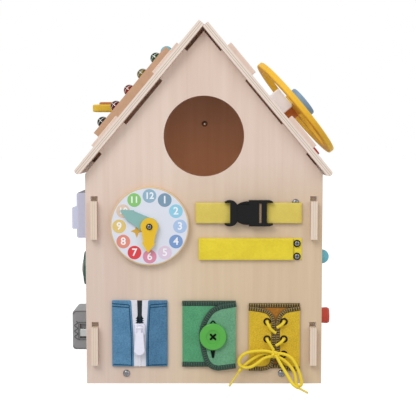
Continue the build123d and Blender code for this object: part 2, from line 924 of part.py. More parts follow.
# ---- lace panel: backing and two flaps in one group ----
lace_left = lace_panel_x - lace_panel_width / 2
lace_right = lace_panel_x + lace_panel_width / 2
lace_high = lace_panel_top
lace_low = lace_panel_bottom
with BuildPart() as lace_panel:
    with BuildSketch(front_plane()):
        middle, tall = span(lace_low + lace_backing_lift, lace_high)
        with Locations((lace_panel_x, middle)):
            Rectangle(lace_panel_width, tall)
    extrude(amount=cloth)
    for outer_x, meet, eyelet_x in (
        (lace_left, lace_flap_meet - 0.3, eyelet_left_x),
        (lace_right, lace_flap_meet + 0.3, eyelet_right_x),
    ):
        with BuildSketch(front_plane(flap_back)):
            with BuildLine():
                inward = 1 if outer_x < meet else -1
                corner = (outer_x, lace_high - lace_flap_drop)
                top = (meet + (outer_x - meet) * 0.55, lace_high - 1.7 * lace_flap_drop)
                sweep_end = (meet, lace_high - lace_flap_sweep)
                round_start = (meet, lace_low + lace_flap_round)
                round_end = (meet - inward * lace_flap_round, lace_low)
                Polyline((outer_x, lace_low), corner, top)
                TangentArc(top, sweep_end, tangent=(meet - top[0], -8))
                Line(sweep_end, round_start)
                TangentArc(round_start, round_end, tangent=(0, -1))
                Line(round_end, (outer_x, lace_low))
            make_face()
            with Locations(*[(eyelet_x, z) for z in eyelet_rows]):
                Circle(eyelet_bore + 0.8, mode=Mode.SUBTRACT)
        extrude(amount=flap_cloth)
save(lace_panel, "lace_panel")

with BuildPart() as lace_eyelets:
    points = [(x, z) for x in (eyelet_left_x, eyelet_right_x) for z in eyelet_rows]
    with BuildSketch(front_plane(flap_back)):
        with Locations(*points):
            Circle(eyelet_bore + 0.75)
            Circle(eyelet_bore, mode=Mode.SUBTRACT)
    extrude(amount=flap_cloth + 0.1)
    with BuildSketch(front_plane(flap_front + 0.05)):
        with Locations(*points):
            Circle(eyelet_radius)
            Circle(eyelet_bore, mode=Mode.SUBTRACT)
    extrude(amount=0.6)
save(lace_eyelets, "lace_eyelets")


def lace_tube(points):
    """Straight runs joined by the largest arcs that they allow, swept with the lace's round
    section. Prints the tightest radius and the length."""
    corners = [Vector(lace_flap_meet + x, y, z) for x, y, z in points]
    runs = [corners[i + 1] - corners[i] for i in range(len(corners) - 1)]
    radii = []
    for before, after in zip(runs, runs[1:]):
        turn = radians(before.get_angle(after))
        radii.append(0.45 * min(before.length, after.length) / tan(turn / 2))
    with BuildPart() as tube:
        with BuildLine() as route:
            FilletPolyline(*corners, radius=radii)
        start = route.wire().position_at(0)
        heading = route.wire().tangent_at(0)
        with BuildSketch(Plane(origin=start, z_dir=heading)):
            Circle(lace_radius)
        sweep(path=route.wire())
    length = route.wire().length
    share = tube.part.volume / (length * 3.14159265 * lace_radius**2)
    print(f"lace: length {length:.1f}, tightest radius {min(radii):.1f}, volume share {share:.4f}")
    return tube.part


# Lace routes: X from the line where the flaps meet, Y, Z. The crossings come out of the eyelets
# and dive between the flaps.
crossing_routes = (
    ((-10.6, -131.8, 78.2), (-10.2, -135.9, 76.6), (-5.6, -135.9, 67.8), (-0.2, -133.9, 64.6)),
    ((10.1, -131.8, 78.2), (9.4, -135.6, 77.2), (5.2, -135.6, 73.4), (1.7, -133.9, 71.4)),
    ((-10.6, -131.8, 56.6), (-10.3, -136.0, 55.6), (-6.0, -136.2, 48.6), (-2.8, -136.2, 43.5)),
    ((10.1, -131.8, 56.6), (9.0, -135.6, 55.8), (4.4, -135.6, 51.2), (0.5, -133.9, 49.0)),
)
left_loop_route = (
    (-2.2, -138.0, 40.7), (-9.7, -138.6, 43.0), (-18.2, -138.9, 43.4), (-27.2, -138.9, 42.9),
    (-35.9, -138.9, 41.2), (-42.6, -138.9, 36.9), (-45.8, -138.9, 30.4), (-44.0, -138.9, 24.6),
    (-37.9, -138.9, 22.1), (-30.6, -138.9, 23.0), (-23.8, -138.8, 27.0), (-17.5, -138.7, 32.2),
    (-10.6, -138.4, 36.1), (-2.2, -138.0, 36.6),
)
right_loop_route = (
    (-0.2, -138.0, 40.5), (8.3, -138.4, 39.8), (16.2, -139.6, 37.3), (22.1, -141.8, 31.4),
    (26.6, -144.6, 22.0), (30.2, -147.8, 12.0), (30.8, -150.2, 2.6), (23.8, -149.4, 2.6),
    (23.8, -146.6, 11.4), (22.1, -144.0, 18.4), (17.8, -141.4, 24.6),
    (12.4, -139.4, 29.8), (6.2, -138.3, 34.4), (-0.2, -138.0, 36.3),
)
left_tail_route = (
    (-3.2, -134.3, 38.4), (-10.8, -134.0, 39.3), (-17.8, -133.9, 38.2), (-24.4, -133.8, 34.7),
    (-31.0, -133.8, 30.2), (-36.6, -134.0, 25.9), (-41.5, -135.0, 22.15), (-45.0, -137.6, 17.6),
)
right_tail_route = (
    (-0.2, -141.6, 38.5), (3.0, -143.6, 32.4), (7.0, -147.4, 25.6), (11.8, -152.8, 18.6),
    (16.2, -160.2, 11.6), (19.4, -165.7, 7.25), (24.4, -169.4, 5.4),
)

left_loop = lace_tube(left_loop_route)
right_loop = lace_tube(right_loop_route)
left_tail = lace_tube(left_tail_route)
right_tail = lace_tube(right_tail_route)
knot_centre = (lace_flap_meet - 1.2, -138.4, 38.6)
knot_size = (9.4, 9.6, 8.8)

for name, strand in (
    ("lace_loop_left", left_loop),
    ("lace_loop_right", right_loop),
    ("lace_tail_left", left_tail),
    ("lace_tail_right", right_tail),
):
    with BuildPart() as piece:
        add(strand)
        with Locations(knot_centre):
            Box(*knot_size, mode=Mode.SUBTRACT)
    save(piece, name)

with BuildPart() as lacing:
    with Locations(knot_centre):
        Box(*knot_size)
    fillet(lacing.edges().filter_by(Axis.X), 1.6)
    for route in crossing_routes:
        add(lace_tube(route))
save(lacing, "lacing")

with BuildPart() as aglets:
    for route, length in ((left_tail_route, left_aglet_length), (right_tail_route, right_aglet_length)):
        start = Vector(lace_flap_meet, 0, 0) + Vector(*route[-1])
        with BuildSketch(Plane(origin=start, z_dir=Vector(*route[-1]) - Vector(*route[-2]))):
            Circle(aglet_radius)
        extrude(amount=length)
save(aglets, "aglets")

# ---- left wall: push switch, turning dial, latch case ----
switch_near = wall_item_y
switch_far = wall_item_y + switch_depth
switch_high = switch_bottom + switch_tall
switch_face = -wall_outer - switch_proud
key_half = switch_key_size / 2
key_low = switch_key_height - key_half
key_high = switch_key_height + key_half
key_inner = switch_key_travel + 4.0
with BuildPart() as switch_box:
    block((switch_face, -wall_outer), (switch_near, switch_far), (switch_bottom, switch_high))
    rim_edges = switch_box.faces().sort_by(Axis.X)[0].edges()
    fillet(rim_edges, 3.0)
    block(
        (switch_face - 1, switch_face + key_inner + switch_key_travel + 1),
        (switch_key_y - key_half - key_fit, switch_key_y + key_half + key_fit),
        (key_low - key_fit, key_high + key_fit),
        mode=Mode.SUBTRACT,
    )
save(switch_box, "switch_box")

with BuildPart() as switch_key:
    block(
        (switch_face - switch_key_proud, switch_face + key_inner),
        (switch_key_y - key_half, switch_key_y + key_half),
        (key_low, key_high),
    )
    fillet(switch_key.faces().sort_by(Axis.X)[0].edges(), 2.0)
save(switch_key, "switch_key")

with BuildPart() as turn_dial:
    with BuildSketch(Plane(origin=(-wall_outer - dial_stand_off, dial_y, dial_height), z_dir=(-1, 0, 0))):
        Circle(dial_radius)
    extrude(amount=dial_rim)
    with BuildSketch(
        Plane(origin=(-wall_outer - dial_stand_off - dial_rim, dial_y, dial_height), z_dir=(-1, 0, 0))
    ):
        Circle(dial_radius - 1.5)
    extrude(amount=dial_dome - dial_rim, taper=dial_taper)
    with BuildSketch(Plane(origin=(-wall_outer, dial_y, dial_height), z_dir=(-1, 0, 0))):
        Circle(bolt_radius + bolt_fit)
    extrude(amount=dial_stand_off + dial_dome + 1, mode=Mode.SUBTRACT)
    with BuildSketch(
        Plane(origin=(-wall_outer - dial_stand_off - dial_dome, dial_y, dial_height), z_dir=(-1, 0, 0))
    ):
        Circle(bolt_radius + 2.4)
    extrude(amount=-3.0, mode=Mode.SUBTRACT)
save(turn_dial, "turn_dial")

dial_face = dial_stand_off + dial_dome
with BuildPart() as dial_cap:
    with BuildSketch(Plane(origin=(-wall_outer - dial_face, dial_y, dial_height), z_dir=(-1, 0, 0))):
        Circle(dial_cap_radius)
    extrude(amount=dial_cap_thickness)
    fillet(dial_cap.edges().filter_by(GeomType.CIRCLE).sort_by(Axis.X)[0], dial_cap_thickness * 0.7)
save(dial_cap, "dial_cap")

latch_near = wall_item_y
latch_far = wall_item_y + latch_depth
latch_high = latch_bottom + latch_tall
latch_face = -wall_outer - latch_proud
window_x = (latch_face + latch_window_near, latch_face + latch_window_near + latch_window_width)
window_z = (latch_window_bottom, latch_window_bottom + latch_window_height)
with BuildPart() as latch_case:
    block((latch_face, -wall_outer), (latch_near, latch_far), (latch_bottom, latch_high))
    fillet(latch_case.faces().sort_by(Axis.X)[0].edges(), latch_round)
    block(
        window_x,
        (latch_near - 1, latch_near + latch_window_recess),
        window_z,
        mode=Mode.SUBTRACT,
    )
save(latch_case, "latch_case")

slider_rest = window_z[0] + latch_slider_rest
with BuildPart() as latch_slider:
    block(
        (window_x[0] + key_fit, window_x[1] - key_fit),
        (latch_near - 1.6, latch_near + latch_window_recess - 0.1),
        (slider_rest, slider_rest + latch_slider_height),
    )
    fillet(latch_slider.faces().sort_by(Axis.Y)[0].edges(), 1.0)
save(latch_slider, "latch_slider")

# ---- right wall: door on two hinges with a ball knob, and a turning knob ----
door_back_y = door_front_y + door_width
door_high = door_bottom + door_tall
hinge_x = wall_outer + hinge_leaf + hinge_knuckle - 0.4
hinge_y = door_back_y + door_gap / 2
hinge_heights = (door_bottom + hinge_rise, door_high - hinge_rise)
knuckle_clear = 0.3
with BuildPart() as side_door:
    block((wall_inner, wall_outer), (door_front_y, door_back_y), (door_bottom, door_high))
save(side_door, "side_door")

for name, direction in (("door_leaves", -1), ("wall_leaves", 1)):
    fixed = direction > 0
    with BuildPart() as leaves:
        for z in hinge_heights:
            low, high = z - hinge_tall / 2, z + hinge_tall / 2
            third = hinge_tall / 3
            leaf_y = sorted((hinge_y + direction * 1.0, hinge_y + direction * hinge_leaf_width))
            block((wall_outer, wall_outer + hinge_leaf), leaf_y, (low, high))
            ends = [(low, low + third - knuckle_clear), (high - third + knuckle_clear, high)]
            middle = [(low + third, high - third)]
            mine = ends if fixed else middle
            others = middle if fixed else ends
            for bottom, top in mine:
                with BuildSketch(Plane.XY.offset(bottom)):
                    with Locations((hinge_x, hinge_y)):
                        Circle(hinge_knuckle)
                    web_y = sorted((hinge_y, hinge_y + direction * 2.2))
                    y, length = span(*web_y)
                    with Locations((wall_outer + hinge_leaf / 2 + 0.3, y)):
                        Rectangle(hinge_leaf + 0.6, length)
                extrude(amount=top - bottom)
            for bottom, top in others:
                with BuildSketch(Plane.XY.offset(bottom - knuckle_clear)):
                    with Locations((hinge_x, hinge_y)):
                        Circle(hinge_knuckle + 0.3)
                extrude(amount=top - bottom + 2 * knuckle_clear, mode=Mode.SUBTRACT)
            with BuildSketch(Plane.XY.offset(low)):
                with Locations((hinge_x, hinge_y)):
                    Circle(hinge_pin_radius if fixed else hinge_pin_radius + hinge_fit)
            extrude(amount=hinge_tall, mode=Mode.ADD if fixed else Mode.SUBTRACT)
    save(leaves, name)

with BuildPart() as door_knob:
    with Locations((wall_outer + ball_centre_out, door_knob_y, door_knob_height)):
        Sphere(ball_radius)
    with BuildSketch(Plane(origin=(wall_outer, door_knob_y, door_knob_height), z_dir=(1, 0, 0))):
        Circle(knob_stem_radius)
    extrude(amount=ball_centre_out)
save(door_knob, "door_knob")

with BuildPart() as turn_knob:
    with BuildSketch(Plane(origin=(0, turn_knob_y, turn_knob_height), x_dir=(1, 0, 0), z_dir=(0, -1, 0))):
        with BuildLine():
            knob_foot = wall_outer + 0.3
            knob_tip = wall_outer + turn_knob_length
            Polyline(
                (wall_inner - collar_thickness - 0.3, 0),
                (wall_inner - collar_thickness - 0.3, collar_radius),
                (wall_inner - 0.3, collar_radius),
                (wall_inner - 0.3, spindle_radius),
                (knob_foot, spindle_radius),
                (knob_foot, turn_knob_root),
                (knob_tip - 3, turn_knob_radius),
                (knob_tip, turn_knob_radius - 1.2),
                (knob_tip, 0),
                close=True,
            )
        make_face()
    revolve(axis=Axis((0, turn_knob_y, turn_knob_height), (1, 0, 0)))
save(turn_knob, "turn_knob")

# ---- left roof: bell rail with five bells, peg in a track, two paddles ----
left_top = roof_plane(-1, ply)
rail_v = -(rail_front_y + rail_width / 2)
wire_v = rail_v - wire_setback
bell_first = rail_start + bell_margin_high
bell_pitch = (rail_length - bell_margin_high - bell_margin_low) / (bell_count - 1)
paddle_axle_start = paddle_front_y - paddle_bracket - 1.0
paddle_axle_end = paddle_front_y + paddle_spacing + paddle_width + paddle_bracket + 1.0
axle_point = left_top.from_local_coords((paddle_axle_u, 0, paddle_axle_height))
axle_plane = Plane(origin=(axle_point.X, paddle_axle_start, axle_point.Z), z_dir=(0, 1, 0))
rod_plane = Plane(
    origin=left_top.from_local_coords((rail_start, wire_v, wire_height)), z_dir=left_top.x_dir
)
with BuildPart() as roof_mounts:
    with BuildSketch(left_top):
        with Locations((rail_start + rail_length / 2, rail_v)):
            Rectangle(rail_length, rail_width)
    extrude(amount=rail_height)
    with BuildSketch(roof_plane(-1, ply + rail_height)):
        with Locations((rail_start + rail_length / 2, rail_v)):
            Rectangle(rail_length - 2 * channel_end, rail_width - 2 * channel_wall)
    extrude(amount=-channel_depth, mode=Mode.SUBTRACT)
    for y in (paddle_axle_start, paddle_axle_end - paddle_bracket):
        with BuildSketch(left_top):
            with Locations((paddle_axle_u, -(y + paddle_bracket / 2))):
                Rectangle(paddle_bracket_length, paddle_bracket)
        extrude(amount=paddle_bracket_height)
    for plane, radius, length in (
        (rod_plane, wire_radius, rail_length),
        (axle_plane, paddle_axle_radius, paddle_axle_end - paddle_axle_start),
    ):
        with BuildSketch(plane):
            Circle(radius)
        extrude(amount=length, mode=Mode.SUBTRACT)
save(roof_mounts, "roof_mounts")

lean_cos = cos(radians(bell_lean))
lean_sin = sin(radians(bell_lean))
bell_out = left_top.z_dir * lean_cos + left_top.y_dir * lean_sin
bell_colours = ("green", "yellow", "red", "crimson", "silver")
for index, colour in enumerate(bell_colours[:bell_count]):
    down = bell_first + index * bell_pitch
    hook = left_top.from_local_coords((down, wire_v, wire_height))
    centre = hook + bell_out * bell_reach
    bell_frame = Plane(origin=centre, x_dir=left_top.x_dir, z_dir=bell_out)
    with BuildPart() as bell:
        with Locations(bell_frame.location):
            Sphere(bell_radius)
            Sphere(bell_radius - bell_wall, mode=Mode.SUBTRACT)
            with Locations((0, 0, bell_radius)):
                Box(1.8 * bell_radius, bell_slit, bell_radius * 1.5, mode=Mode.SUBTRACT)
                Box(bell_slit, 1.8 * bell_radius, bell_radius * 1.5, mode=Mode.SUBTRACT)
        loop_plane = Plane(
            origin=bell_frame.from_local_coords((-1.4, 0, -bell_reach)),
            x_dir=bell_frame.y_dir,
            z_dir=bell_frame.x_dir,
        )
        neck_mid = -(bell_radius - bell_wall / 2 + bell_reach) / 2
        with Locations(bell_frame.location * Location((0, 0, neck_mid))):
            Box(2.8, 2.4, bell_reach - bell_radius + bell_wall / 2)
        with BuildSketch(loop_plane):
            Circle(bell_neck_radius)
        extrude(amount=2.8)
        with BuildSketch(loop_plane):
            Circle(wire_radius + wire_fit)
        extrude(amount=2.8, mode=Mode.SUBTRACT)
        rest = bell_radius - bell_wall - pellet_radius - 0.1
        with Locations(bell_frame.location * Location((0, 0, -rest))):
            Sphere(pellet_radius)
    save(bell, f"bell_{colour}")

peg_foot = left_top.from_local_coords((peg_start, -peg_y, 0))
peg_out = Plane(origin=peg_foot, x_dir=left_top.x_dir, z_dir=-left_top.y_dir)
ball_foot = peg_ball_height - (peg_ball_radius**2 - peg_stem_radius**2) ** 0.5
with BuildPart() as track_peg:
    with BuildSketch(peg_out):
        with BuildLine():
            under = -ply - 0.4
            Polyline(
                (0, peg_ball_height + peg_ball_radius),
                (0, under - collar_thickness),
                (collar_radius, under - collar_thickness),
                (collar_radius, under),
                (peg_stem_radius, under),
                (peg_stem_radius, 0.3),
                (collar_radius, 0.3),
                (collar_radius, 2.3),
                (peg_stem_radius, 2.3),
                (peg_stem_radius, ball_foot),
            )
            ThreePointArc(
                (peg_stem_radius, ball_foot),
                (peg_ball_radius, peg_ball_height),
                (0, peg_ball_height + peg_ball_radius),
            )
        make_face()
    revolve(axis=Axis(peg_foot, left_top.z_dir))
save(track_peg, "track_peg")

for name, near_y, length, rise in (
    ("yellow_paddle", paddle_front_y, paddle_length, 0.0),
    ("orange_paddle", paddle_front_y + paddle_spacing, orange_paddle_length, orange_paddle_rise),
):
    flat = Plane(origin=(axle_point.X, near_y, axle_point.Z), x_dir=(-1, 0, 0), z_dir=(0, 1, 0))
    with BuildPart() as paddle:
        with BuildSketch(flat):
            with Locations((length / 2, rise)):
                Rectangle(length, paddle_thickness)
            Circle(paddle_hub_radius)
            Circle(paddle_axle_radius + hinge_fit, mode=Mode.SUBTRACT)
        extrude(amount=paddle_width)
        tip = paddle.faces().sort_by(Axis.X)[0]
        fillet(tip.edges().filter_by(Axis.Z), paddle_round)
        rim = paddle.faces().sort_by(Axis.X)[0].edges().filter_by(Axis.Y)
        fillet(rim, paddle_edge_round)
    save(paddle, name)

# ---- right roof: steering wheel on a spacer, white block, red plate ----
right_top = roof_plane(1, ply)
with BuildPart() as steering_wheel:
    with BuildSketch(roof_plane(1, ply + wheel_height)):
        with Locations((wheel_u, wheel_y)):
            Circle(wheel_radius)
            Circle(wheel_radius - wheel_rim, mode=Mode.SUBTRACT)
            Circle(wheel_hub_radius)
        reach = wheel_radius - wheel_rim / 2
        with Locations((wheel_u + reach / 2, wheel_y)):
            Rectangle(reach, wheel_spoke)
        with Locations((wheel_u, wheel_y)):
            Rectangle(wheel_spoke, 2 * reach)
            Circle(bolt_radius + bolt_fit, mode=Mode.SUBTRACT)
    extrude(amount=wheel_thickness)
    round_edges = steering_wheel.edges().filter_by(GeomType.CIRCLE)
    fillet(round_edges.group_by(SortBy.RADIUS)[-1], 2.0)
save(steering_wheel, "steering_wheel")

with BuildPart() as wheel_spacer:
    with BuildSketch(right_top):
        with Locations((wheel_u, wheel_y)):
            Circle(spacer_radius)
            Circle(bolt_radius + bolt_fit, mode=Mode.SUBTRACT)
    extrude(amount=wheel_height - 0.2)
save(wheel_spacer, "wheel_spacer")

bolt_head_height = 3.0
with BuildPart() as wheel_cap:
    with BuildSketch(roof_plane(1, ply + wheel_height + wheel_thickness)):
        with Locations((wheel_u, wheel_y)):
            Circle(wheel_cap_radius)
    extrude(amount=wheel_cap_thickness)
    fillet(wheel_cap.faces().sort_by(Axis.Z)[-1].edges(), 2.5)
    with BuildSketch(roof_plane(1, ply + wheel_height + wheel_thickness)):
        with Locations((wheel_u, wheel_y)):
            Circle(nut_radius + 0.4)
    extrude(amount=bolt_head_height + 0.6, mode=Mode.SUBTRACT)
save(wheel_cap, "wheel_cap")

with BuildPart() as white_block:
    with BuildSketch(right_top):
        with Locations((white_block_u, white_block_y)):
            Rectangle(white_block_length, white_block_width)
    extrude(amount=white_block_height)
    fillet(white_block.edges(), 1.5)
save(white_block, "white_block")

with BuildPart() as red_plate:
    with BuildSketch(right_top):
        with Locations((red_plate_u, red_plate_y)):
            RectangleRounded(red_plate_length, red_plate_width, 6.0)
    extrude(amount=red_plate_thickness)
save(red_plate, "red_plate")

# ---- back: spinner ----
with BuildPart() as back_spinner:
    with BuildSketch(back_plane(spinner_stand_off)):
        with Locations((0, spinner_height)):
            Circle(spinner_radius * 0.82)
            with PolarLocations(spinner_radius * 0.78, spinner_petals):
                Circle(spinner_radius * 0.22)
            with PolarLocations(spinner_radius * 0.5, spinner_petals // 2):
                Circle(spinner_hole_radius, mode=Mode.SUBTRACT)
            Circle(bolt_radius + bolt_fit, mode=Mode.SUBTRACT)
    extrude(amount=spinner_thickness)
save(back_spinner, "back_spinner")


# ---- pivot bolts with their washers' shoulders and dome nuts ----
def pivot_bolt(grip, head_radius, head_height, nut_gap):
    """Bolt along Z: head above XY, grip below it, dome nut at the far end."""
    with BuildPart() as bolt:
        with BuildSketch():
            Circle(head_radius)
        extrude(amount=head_height)
        fillet(bolt.edges().sort_by(Axis.Z)[-1], head_height * 0.6)
        with BuildSketch():
            Circle(bolt_radius)
        extrude(amount=-grip - nut_height * 0.6)
    with BuildPart() as nut:
        with BuildSketch(Plane.XY.offset(-grip - nut_gap)):
            Circle(nut_radius)
        extrude(amount=-nut_height)
        fillet(nut.edges().sort_by(Axis.Z)[0], nut_radius * 0.8)
        with BuildSketch(Plane.XY.offset(-grip - nut_gap)):
            Circle(bolt_radius)
        extrude(amount=-(nut_height * 0.6 - nut_gap), mode=Mode.SUBTRACT)
    return bolt.part, nut.part


spinner_grip = spinner_stand_off + spinner_thickness + 0.4 + ply
dial_grip = ply + dial_stand_off + dial_dome - 3.0 + 0.4
wheel_grip = 2 * ply - ply + wheel_height + wheel_thickness + 0.3
bolt_places = (
    (back_plane(spinner_stand_off + spinner_thickness + 0.4).location
     * Location((0, spinner_height, 0)), pivot_bolt(spinner_grip, 6.0, 4.0, 0.0)),
    (Plane(origin=(-wall_outer - dial_stand_off - dial_dome + 3.0 - 0.4, dial_y, dial_height),
           z_dir=(-1, 0, 0)).location, pivot_bolt(dial_grip, 4.2, 2.2, 0.0)),
    (roof_plane(1, ply + wheel_height + wheel_thickness + 0.3).location
     * Location((wheel_u, wheel_y, 0)), pivot_bolt(wheel_grip, nut_radius, bolt_head_height, 0.0)),
)
with BuildPart() as pivots:
    for plane, radius, length in (
        (rod_plane, wire_radius, rail_length),
        (axle_plane, paddle_axle_radius, paddle_axle_end - paddle_axle_start),
    ):
        with BuildSketch(plane):
            Circle(radius)
        extrude(amount=length)
    for location, (bolt, nut) in bolt_places:
        with Locations(location):
            add(bolt)
            add(nut)
    washer = back_plane()
    with BuildSketch(washer):
        with Locations((0, spinner_height)):
            Circle(7.0)
            Circle(bolt_radius, mode=Mode.SUBTRACT)
    extrude(amount=spinner_stand_off - 0.2)
    with BuildSketch(Plane(origin=(-wall_outer, dial_y, dial_height), z_dir=(-1, 0, 0))):
        Circle(7.0)
        Circle(bolt_radius, mode=Mode.SUBTRACT)
    extrude(amount=dial_stand_off - 0.2)
save(pivots, "pivots")
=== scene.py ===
import math

import bmesh
import bpy
from mathutils import Matrix, Vector, noise


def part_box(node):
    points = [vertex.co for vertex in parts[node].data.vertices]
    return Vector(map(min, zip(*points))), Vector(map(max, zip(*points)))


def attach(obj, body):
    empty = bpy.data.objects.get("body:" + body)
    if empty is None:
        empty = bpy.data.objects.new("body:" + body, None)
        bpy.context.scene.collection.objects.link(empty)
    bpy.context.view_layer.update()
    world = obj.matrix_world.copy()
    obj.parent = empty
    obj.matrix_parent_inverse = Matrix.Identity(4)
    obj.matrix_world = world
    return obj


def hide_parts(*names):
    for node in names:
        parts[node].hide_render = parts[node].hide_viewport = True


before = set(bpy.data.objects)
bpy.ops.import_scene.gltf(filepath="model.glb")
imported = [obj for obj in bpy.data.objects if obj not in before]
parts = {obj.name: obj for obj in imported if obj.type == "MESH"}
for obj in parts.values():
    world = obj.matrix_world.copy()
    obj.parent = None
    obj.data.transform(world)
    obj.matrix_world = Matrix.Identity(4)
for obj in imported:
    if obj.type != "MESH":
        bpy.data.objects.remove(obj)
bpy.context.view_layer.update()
scene = bpy.context.scene
mm = 0.001

# ---- Camera, floor and light ----
# The house stands on a plain pale floor in soft daylight, seen from the front with a long
# lens a little above its middle.
camera_data = bpy.data.cameras.new("camera")
camera_data.sensor_width = 36
camera_data.lens = 84.4
camera = bpy.data.objects.new("camera", camera_data)
camera.location = (0.005, -1.3164, 0.303)
camera.rotation_euler = (math.radians(90 - 4.1), 0, 0)
scene.collection.objects.link(camera)
scene.camera = camera
scene.view_settings.view_transform = "Standard"


def tone(code):
    """Linear colour of a hex code, with alpha."""
    shares = [int(code[i : i + 2], 16) / 255 for i in (1, 3, 5)]
    return (*[s / 12.92 if s <= 0.04045 else ((s + 0.055) / 1.055) ** 2.4 for s in shares], 1)


def put(tree, socket, value):
    """Link another socket into this one, or set its constant."""
    if isinstance(value, bpy.types.NodeSocket):
        tree.links.new(value, socket)
    else:
        socket.default_value = value


def calc(tree, operation, *values, clamp=False):
    """Math node on sockets or numbers."""
    node = tree.nodes.new("ShaderNodeMath")
    node.operation = operation
    node.use_clamp = clamp
    for socket, value in zip(node.inputs, values):
        put(tree, socket, value)
    return node.outputs[0]


def line_of(tree, value, factor, shift, clamp=False):
    """Value times factor, plus shift."""
    return calc(tree, "MULTIPLY_ADD", value, factor, shift, clamp=clamp)


def bare_material(name):
    """Empty node material, its tree and its output's surface socket."""
    material = bpy.data.materials.new(name)
    material.use_nodes = True
    tree = material.node_tree
    tree.nodes.clear()
    return material, tree, tree.nodes.new("ShaderNodeOutputMaterial").inputs["Surface"]


def camera_or_mirror(tree):
    """1 on rays that show the background: seen directly, in a mirror or through glass."""
    path = tree.nodes.new("ShaderNodeLightPath")
    seen = calc(tree, "MAXIMUM", path.outputs["Is Camera Ray"], path.outputs["Is Glossy Ray"])
    return calc(tree, "MAXIMUM", seen, path.outputs["Is Transmission Ray"])


daylight, floor_shine = 0.62, 0.8
world = bpy.data.worlds.new("daylight")
scene.world = world
world.use_nodes = True
tree = world.node_tree
sky = tree.nodes["Background"].inputs
sky["Color"].default_value = tone("#FFFFFF")
put(tree, sky["Strength"], calc(tree, "MAXIMUM", camera_or_mirror(tree), daylight))

floor_material, tree, surface = bare_material("pale floor")
diffuse = tree.nodes.new("ShaderNodeBsdfDiffuse")
diffuse.inputs["Color"].default_value = tone("#C4C4C4")
glow = tree.nodes.new("ShaderNodeEmission")
shine = calc(tree, "MULTIPLY", camera_or_mirror(tree), floor_shine)
put(tree, glow.inputs["Strength"], shine)
both = tree.nodes.new("ShaderNodeAddShader")
for socket, shader in zip(both.inputs, (diffuse, glow)):
    put(tree, socket, shader.outputs[0])
put(tree, surface, both.outputs[0])
floor_mesh = bpy.data.meshes.new("floor")
bm = bmesh.new()
bmesh.ops.create_grid(bm, x_segments=1, y_segments=1, size=12)
bm.to_mesh(floor_mesh)
bm.free()
floor_mesh.materials.append(floor_material)


def stage_object(name, data, place=(0, 0, 0), turn=(0, 0, 0)):
    """Floor or lamp, which stands around the house."""
    made = bpy.data.objects.new(name, data)
    made.location = place
    made.rotation_euler = turn
    scene.collection.objects.link(made)


stage_object("floor", floor_mesh)
house_middle = Vector((0, 0, 0.2))
for name, place, power, size in (
    ("window light", (-1.2, -2.1, 2.2), 43, 1.6),
    ("fill light", (1.6, -1.8, 1.2), 9, 1.4),
):
    lamp = bpy.data.lights.new(name, "AREA")
    lamp.energy = power
    lamp.size = size
    aim = house_middle - Vector(place)
    stage_object(name, lamp, place, aim.to_track_quat("-Z", "Y").to_euler())


def new_piece(name, data, material, slot_name, body="house", instead_of=()):
    """Object at the origin that rides on a body and may stand for CAD nodes."""
    made = bpy.data.objects.new(name, data)
    data.materials.clear()
    data.materials.append(material)
    scene.collection.objects.link(made)
    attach(made, body)
    if instead_of:
        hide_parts(*instead_of)
    return made


def make_piece(name, bm, material, slot_name, smooth=True, **where):
    """New piece of a bmesh, which is freed."""
    data = bpy.data.meshes.new(name)
    bm.to_mesh(data)
    bm.free()
    data.shade_smooth() if smooth else data.shade_flat()
    return new_piece(name, data, material, slot_name, **where)


def group_tree(name, **inputs):
    """Shader node group with these inputs: its tree, what it is given, and its results."""
    tree = bpy.data.node_groups.new(name, "ShaderNodeTree")
    for label, value in inputs.items():
        kind = {tuple: "Color", type(None): "Vector"}.get(type(value), "Float")
        socket = tree.interface.new_socket(label, in_out="INPUT", socket_type=f"NodeSocket{kind}")
        if value is not None:
            socket.default_value = value
    for label, kind in (("Color", "Color"), ("Roughness", "Float"), ("Height", "Float")):
        tree.interface.new_socket(label, in_out="OUTPUT", socket_type=f"NodeSocket{kind}")
    given = tree.nodes.new("NodeGroupInput").outputs
    return tree, given, tree.nodes.new("NodeGroupOutput").inputs


def object_place(tree):
    """Object coordinates."""
    return tree.nodes.new("ShaderNodeTexCoord").outputs["Object"]


def axes_of(tree, vector):
    """X, Y and Z of a vector."""
    split = tree.nodes.new("ShaderNodeSeparateXYZ")
    put(tree, split.inputs[0], vector)
    return split.outputs


def noise_of(tree, vector, scale, stretch=(1, 1, 1), detail=4.0):
    """Noise value on a stretched vector."""
    mapping = tree.nodes.new("ShaderNodeMapping")
    mapping.inputs["Scale"].default_value = stretch
    put(tree, mapping.inputs["Vector"], vector)
    texture = tree.nodes.new("ShaderNodeTexNoise")
    texture.inputs["Detail"].default_value = detail
    texture.inputs["Scale"].default_value = scale
    put(tree, texture.inputs["Vector"], mapping.outputs[0])
    return texture.outputs["Fac"]


def blend_colours(tree, share, first, second, mode="MIX"):
    """Mixed colour of two."""
    node = tree.nodes.new("ShaderNodeMix")
    node.data_type = "RGBA"
    node.blend_type = mode
    put(tree, node.inputs[0], share)
    put(tree, node.inputs[6], first)
    put(tree, node.inputs[7], second)
    return node.outputs[2]


relief_depth = 0.4 * mm


